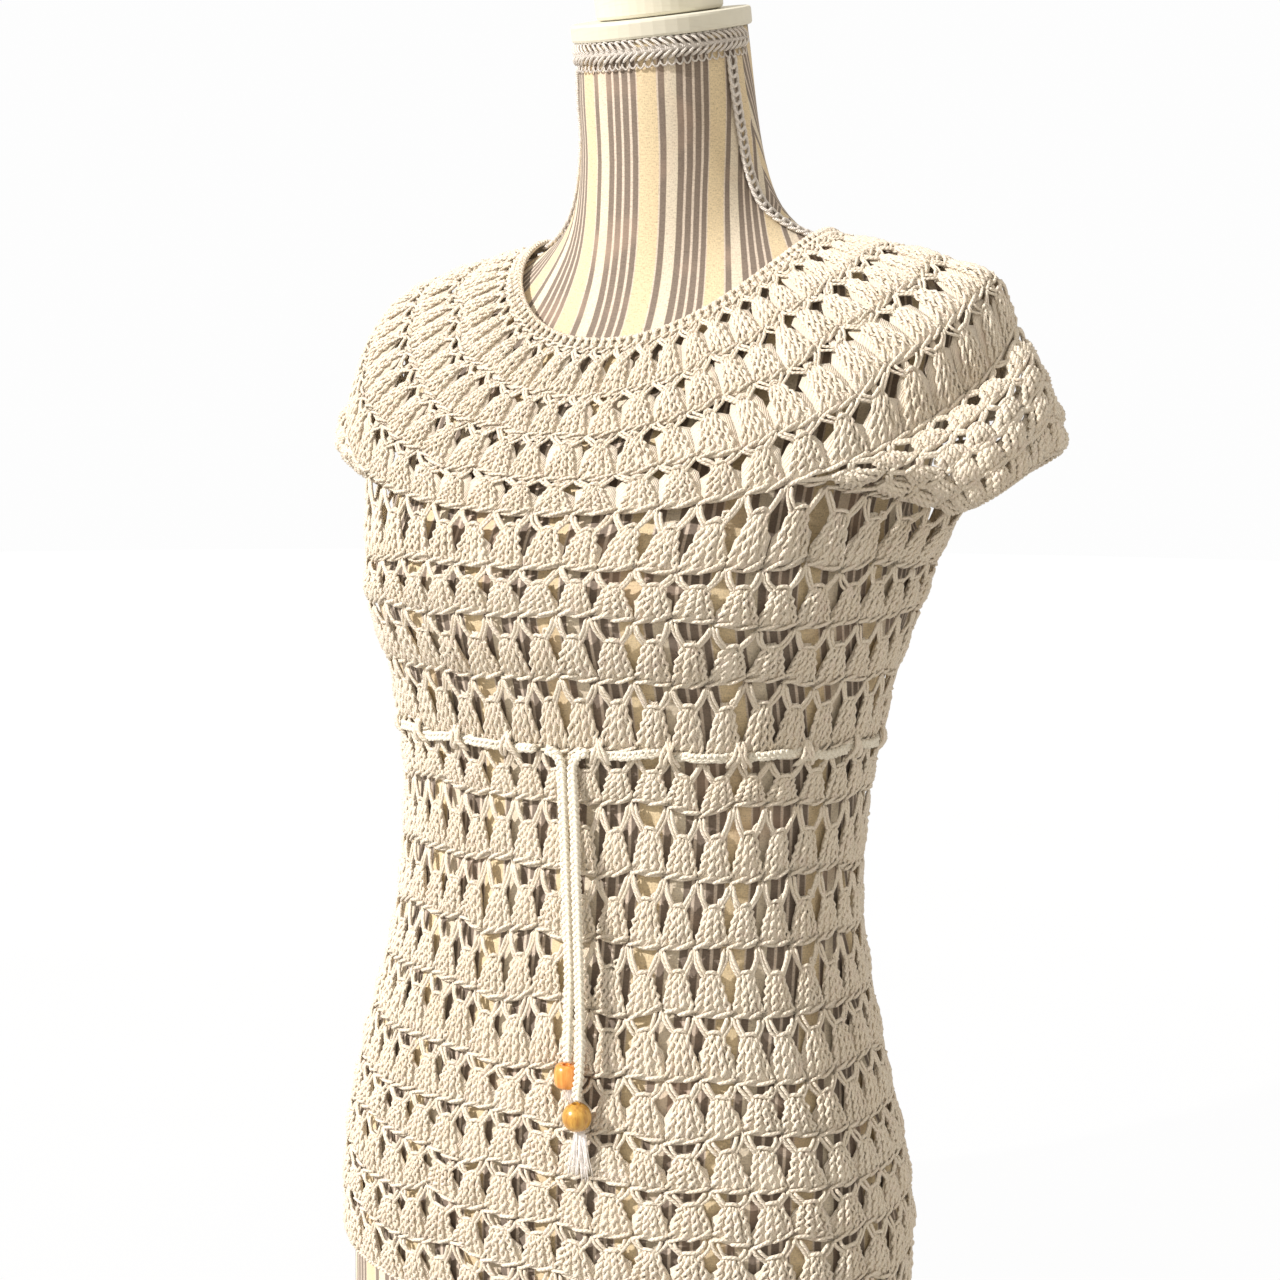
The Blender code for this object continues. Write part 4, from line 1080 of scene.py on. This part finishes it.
def formPiece():
    columns = formSettings["columns"]
    angles = np.arange(columns) * 2 * math.pi / columns
    rows = [roundPoints(row, angles) for row in formRounds]
    chest = bodyLevels[0]
    rows.append(levelPoints((chest[0] + 4, chest[1] - 5, chest[2], chest[3] + 7, chest[4] - 4, chest[5]), angles))
    rows += [levelPoints(row, angles, formInset) for row in bodyLevels[1:]]
    rows.append(levelPoints((0,) + bodyLevels[-1][1:], angles, formInset))
    surface = Surface(rows, True)
    down = np.linspace(0, len(rows) - 1, (len(rows) - 1) * 3 + 1)
    points, _ = surface.at(*np.meshgrid(down, np.arange(columns + 1.0), indexing="ij"))
    lineCount = len(down)
    # ticking map: stripes count from the middle of the front, along each round
    front = columns * 3 // 4
    reach = np.linalg.norm(np.diff(points, axis=1), axis=-1)
    walked = np.concatenate((np.zeros((lineCount, 1)), np.cumsum(reach, axis=1)), axis=1) / mm
    total = walked[:, -1:]
    fromFront = walked - walked[:, front:front + 1]
    fromFront = np.where(fromFront < -total / 2, fromFront + total, fromFront)
    repeat = np.interp(down, (0, 3, 7, 40), (formSettings["repeat"], formSettings["repeat"],
                                              formSettings["lowRepeat"], formSettings["lowRepeat"]))[:, None]
    seam = np.interp(down, (0, 4, 5, 6, 7, 40), (-15, -15, -13, -7, 0, 0))
    height = points[..., 2] / mm
    verts = np.concatenate((points[:, :columns].reshape(-1, 3), [points[-1, :columns].mean(axis=0)],
                            [points[0, :columns].mean(axis=0)]))
    faces, places = [], []
    for i in range(lineCount - 1):
        for j in range(columns):
            after = (j + 1) % columns
            faces.append((i * columns + j, (i + 1) * columns + j, (i + 1) * columns + after, i * columns + after))
            degrees = ((j + 0.5) * 360 / columns + 90) % 360 - 90   # -90 front, 0 left, 90 back, 180 right
            limit = (seam[i] + seam[i + 1]) / 2
            isFront = degrees < limit or degrees > 180 - limit
            corner = ((i, j), (i + 1, j), (i + 1, j + 1), (i, j + 1))
            for a, b in corner:
                walk = fromFront[a, b]
                if degrees > 180 - limit and walk > 0:
                    walk -= total[a, 0]
                if not isFront:
                    walk = walked[a, b] + height[a, b] * 0.4
                places.append(((walk - formSettings["firstStripe"]) / repeat[a, 0] + 0.14, height[a, b] / 1000))
    bottom, top = len(verts) - 2, len(verts) - 1
    base = (lineCount - 1) * columns
    for j in range(columns):
        after = (j + 1) % columns
        faces.append((bottom, base + after, base + j))
        places += [(verts[v][0] * 22, verts[v][1]) for v in faces[-1]]
        faces.append((top, j, after))
        places += [(verts[v][0] * 22, verts[v][1]) for v in faces[-1]]
    mesh = bpy.data.meshes.new("form_cover")
    mesh.from_pydata(verts.tolist(), [], faces)
    layer = mesh.uv_layers.new(name="ticking")
    layer.uv.foreach_set("vector", np.array(places, np.float32).ravel())
    mesh.polygons.foreach_set("use_smooth", [len(f) == 4 for f in faces])
    mesh.materials.append(tickingLook())
    piece = bpy.data.objects.new("form_cover", mesh)
    bpy.context.scene.collection.objects.link(piece)
    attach(piece, "root")
    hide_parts("form_torso")
    return piece


formCover = formPiece()

# braid trims: one round the front of the neck under the cap, one down each side seam
braidSettings = {"pitch": 4.2, "seamPitch": 9.6, "seamWidth": 7}


def neckBraid():
    angles = np.radians(np.linspace(172.5, 367.5, 60))
    surface = Surface([roundPoints(formRounds[0], angles), roundPoints(formRounds[1], angles)], False)
    line, _ = surface.at(np.full(60, 0.5), np.arange(60.0))
    length = np.linalg.norm(np.diff(line, axis=0), axis=1).sum() / mm
    count = int(length / braidSettings["pitch"])
    column = np.linspace(0.6, 57.4, count)
    step = 59 / count
    yarn = Yarn()

    def row(knots, points, radius, sides=5, tone=1.0):
        places = np.broadcast_to(np.array(knots, float), (count, len(knots), 3)).copy()
        places += chance.normal(0, 1, places.shape) * np.array([0.03, 0.012, 0.1])
        places = smoothLine(places, points)
        point, normal = surface.at(places[..., 1], column[:, None] + places[..., 0] * step)
        yarn.lay(point + normal * (places[..., 2] * mm)[..., None], normal, radius * mm, sides, toneAndShadeOf(count, tone))

    # two chevron rows that lean towards each other, and a row of small loops below
    row([(-0.55, 0.02, 0.3), (0.0, 0.1, 1.9), (0.7, 0.3, 2.3), (1.1, 0.46, 0.6)], 6, 0.85)
    row([(-0.55, 0.84, 0.3), (0.0, 0.74, 1.9), (0.7, 0.58, 2.3), (1.1, 0.44, 0.6)], 6, 0.85)
    row([(-0.5, 0.78, 0.4), (-0.42, 0.98, 1.2), (0.0, 1.1, 1.4), (0.42, 0.98, 1.2), (0.5, 0.78, 0.4)], 8, 0.55, 4)
    # the row along the top, under the cap, is set darker: painted shade
    row([(-0.5, 0.1, 0.4), (-0.3, 0.0, 1.0), (0.3, 0.0, 1.0), (0.5, 0.1, 0.4)], 6, 0.5, 4, 0.85)
    # a core under the chevrons, set darker: painted shade between the stitches
    edge, outward = surface.at(np.full(200, 0.45), np.linspace(0.3, 58.7, 200))
    yarn.lay([edge + outward * 0.3 * mm], outward, 2.2 * mm, 4, 0.6)
    return yarn.knit("neck_braid_twisted", silverBraid, "silver_ivory_braid", ["braid_neck"])


def seamBraid(name, side):
    course = ((1, -15), (2, -15), (3, -15), (4, -15), (5, -13), (6, -7), (7, 0))
    half = braidSettings["seamWidth"] / 2
    strip = []
    for row, degrees in course:
        spread = half / formRounds[row][0]
        seam = math.radians(degrees)
        strip.append(roundPoints(formRounds[row], np.array([seam - spread, seam, seam + spread]))
                     * np.array([side, 1, 1]))
    strip = np.array(strip)[:, ::side]
    surface = Surface(strip, False)
    fine = np.linspace(0.12, 6, 400)
    middle, outward = surface.at(fine, np.full(400, 1.0))
    edge, _ = surface.at(fine, np.full(400, 2.0))
    walked = np.concatenate(([0], np.cumsum(np.linalg.norm(np.diff(middle, axis=0), axis=1))))
    long = walked[-1] - 11 * mm
    count = int(long / (braidSettings["seamPitch"] * mm))
    places = np.linspace(0, long, count * 20 + 1)

    def along(values):
        return np.column_stack([np.interp(places, walked, values[:, axis]) for axis in range(3)])

    middle, outward, across = along(middle), along(outward), along(edge) - along(middle)
    across /= np.linalg.norm(across, axis=1, keepdims=True)
    turn = places / (braidSettings["seamPitch"] * mm) * 2 * math.pi
    yarn = Yarn()
    lines = []
    for phase in (0, math.pi):
        # a chain of loops: each strand swings out, doubles back a little and crosses the other
        swing, back = np.sin(turn + phase), np.sin(2 * (turn + phase))
        tangent = np.gradient(middle, axis=0)
        tangent /= np.linalg.norm(tangent, axis=1, keepdims=True)
        lines.append(middle + across * (3.0 * mm * swing)[:, None] + tangent * (-1.5 * mm * back)[:, None]
                     + outward * ((1.9 + 0.8 * np.cos(turn + phase)) * mm)[:, None])
    yarn.lay(lines, outward, 1.05 * mm, 5, toneAndShadeOf(2, 1))
    # a core under the loops, set dark: painted shade between them
    yarn.lay([middle + outward * 0.3 * mm], outward, 1.3 * mm, 4, 0.25)
    return yarn.knit("seam_braid_chain_" + name, silverBraid, "silver_ivory_braid", ["braid_seam_" + name])


neckTrim = neckBraid()
seamTrims = [seamBraid("left", 1), seamBraid("right", -1)]
paint = paintLook()
for name in ("neck_cap", "top_disc"):
    for slot in cadNodes[name].material_slots:
        slot.material = paint
print("form covered")


# ---- the sheets of cloth: each one's flat area and yarn pieces are gathered but not used

for name, (sheet, strands, size, flat, held) in cloth.items():
    min(flat, size[0] * size[1])
    [strands] + edging.get(name, [])

# ---- floor and backdrop

bpy.ops.object.select_all(action="DESELECT")
bpy.ops.mesh.primitive_circle_add(vertices=96, radius=7.5, fill_type="NGON")
floor = bpy.context.object
floor.name = "floor"
floor.data.materials.append(floorLook())
bpy.ops.mesh.primitive_uv_sphere_add(segments=48, ring_count=24, radius=7.4)
backdrop = bpy.context.object
backdrop.name = "backdrop"
backdrop.data.materials.append(backdropLook())
for piece in (floor, backdrop):
    piece.visible_diffuse = piece.visible_glossy = piece.visible_transmission = False
backdrop.visible_shadow = False
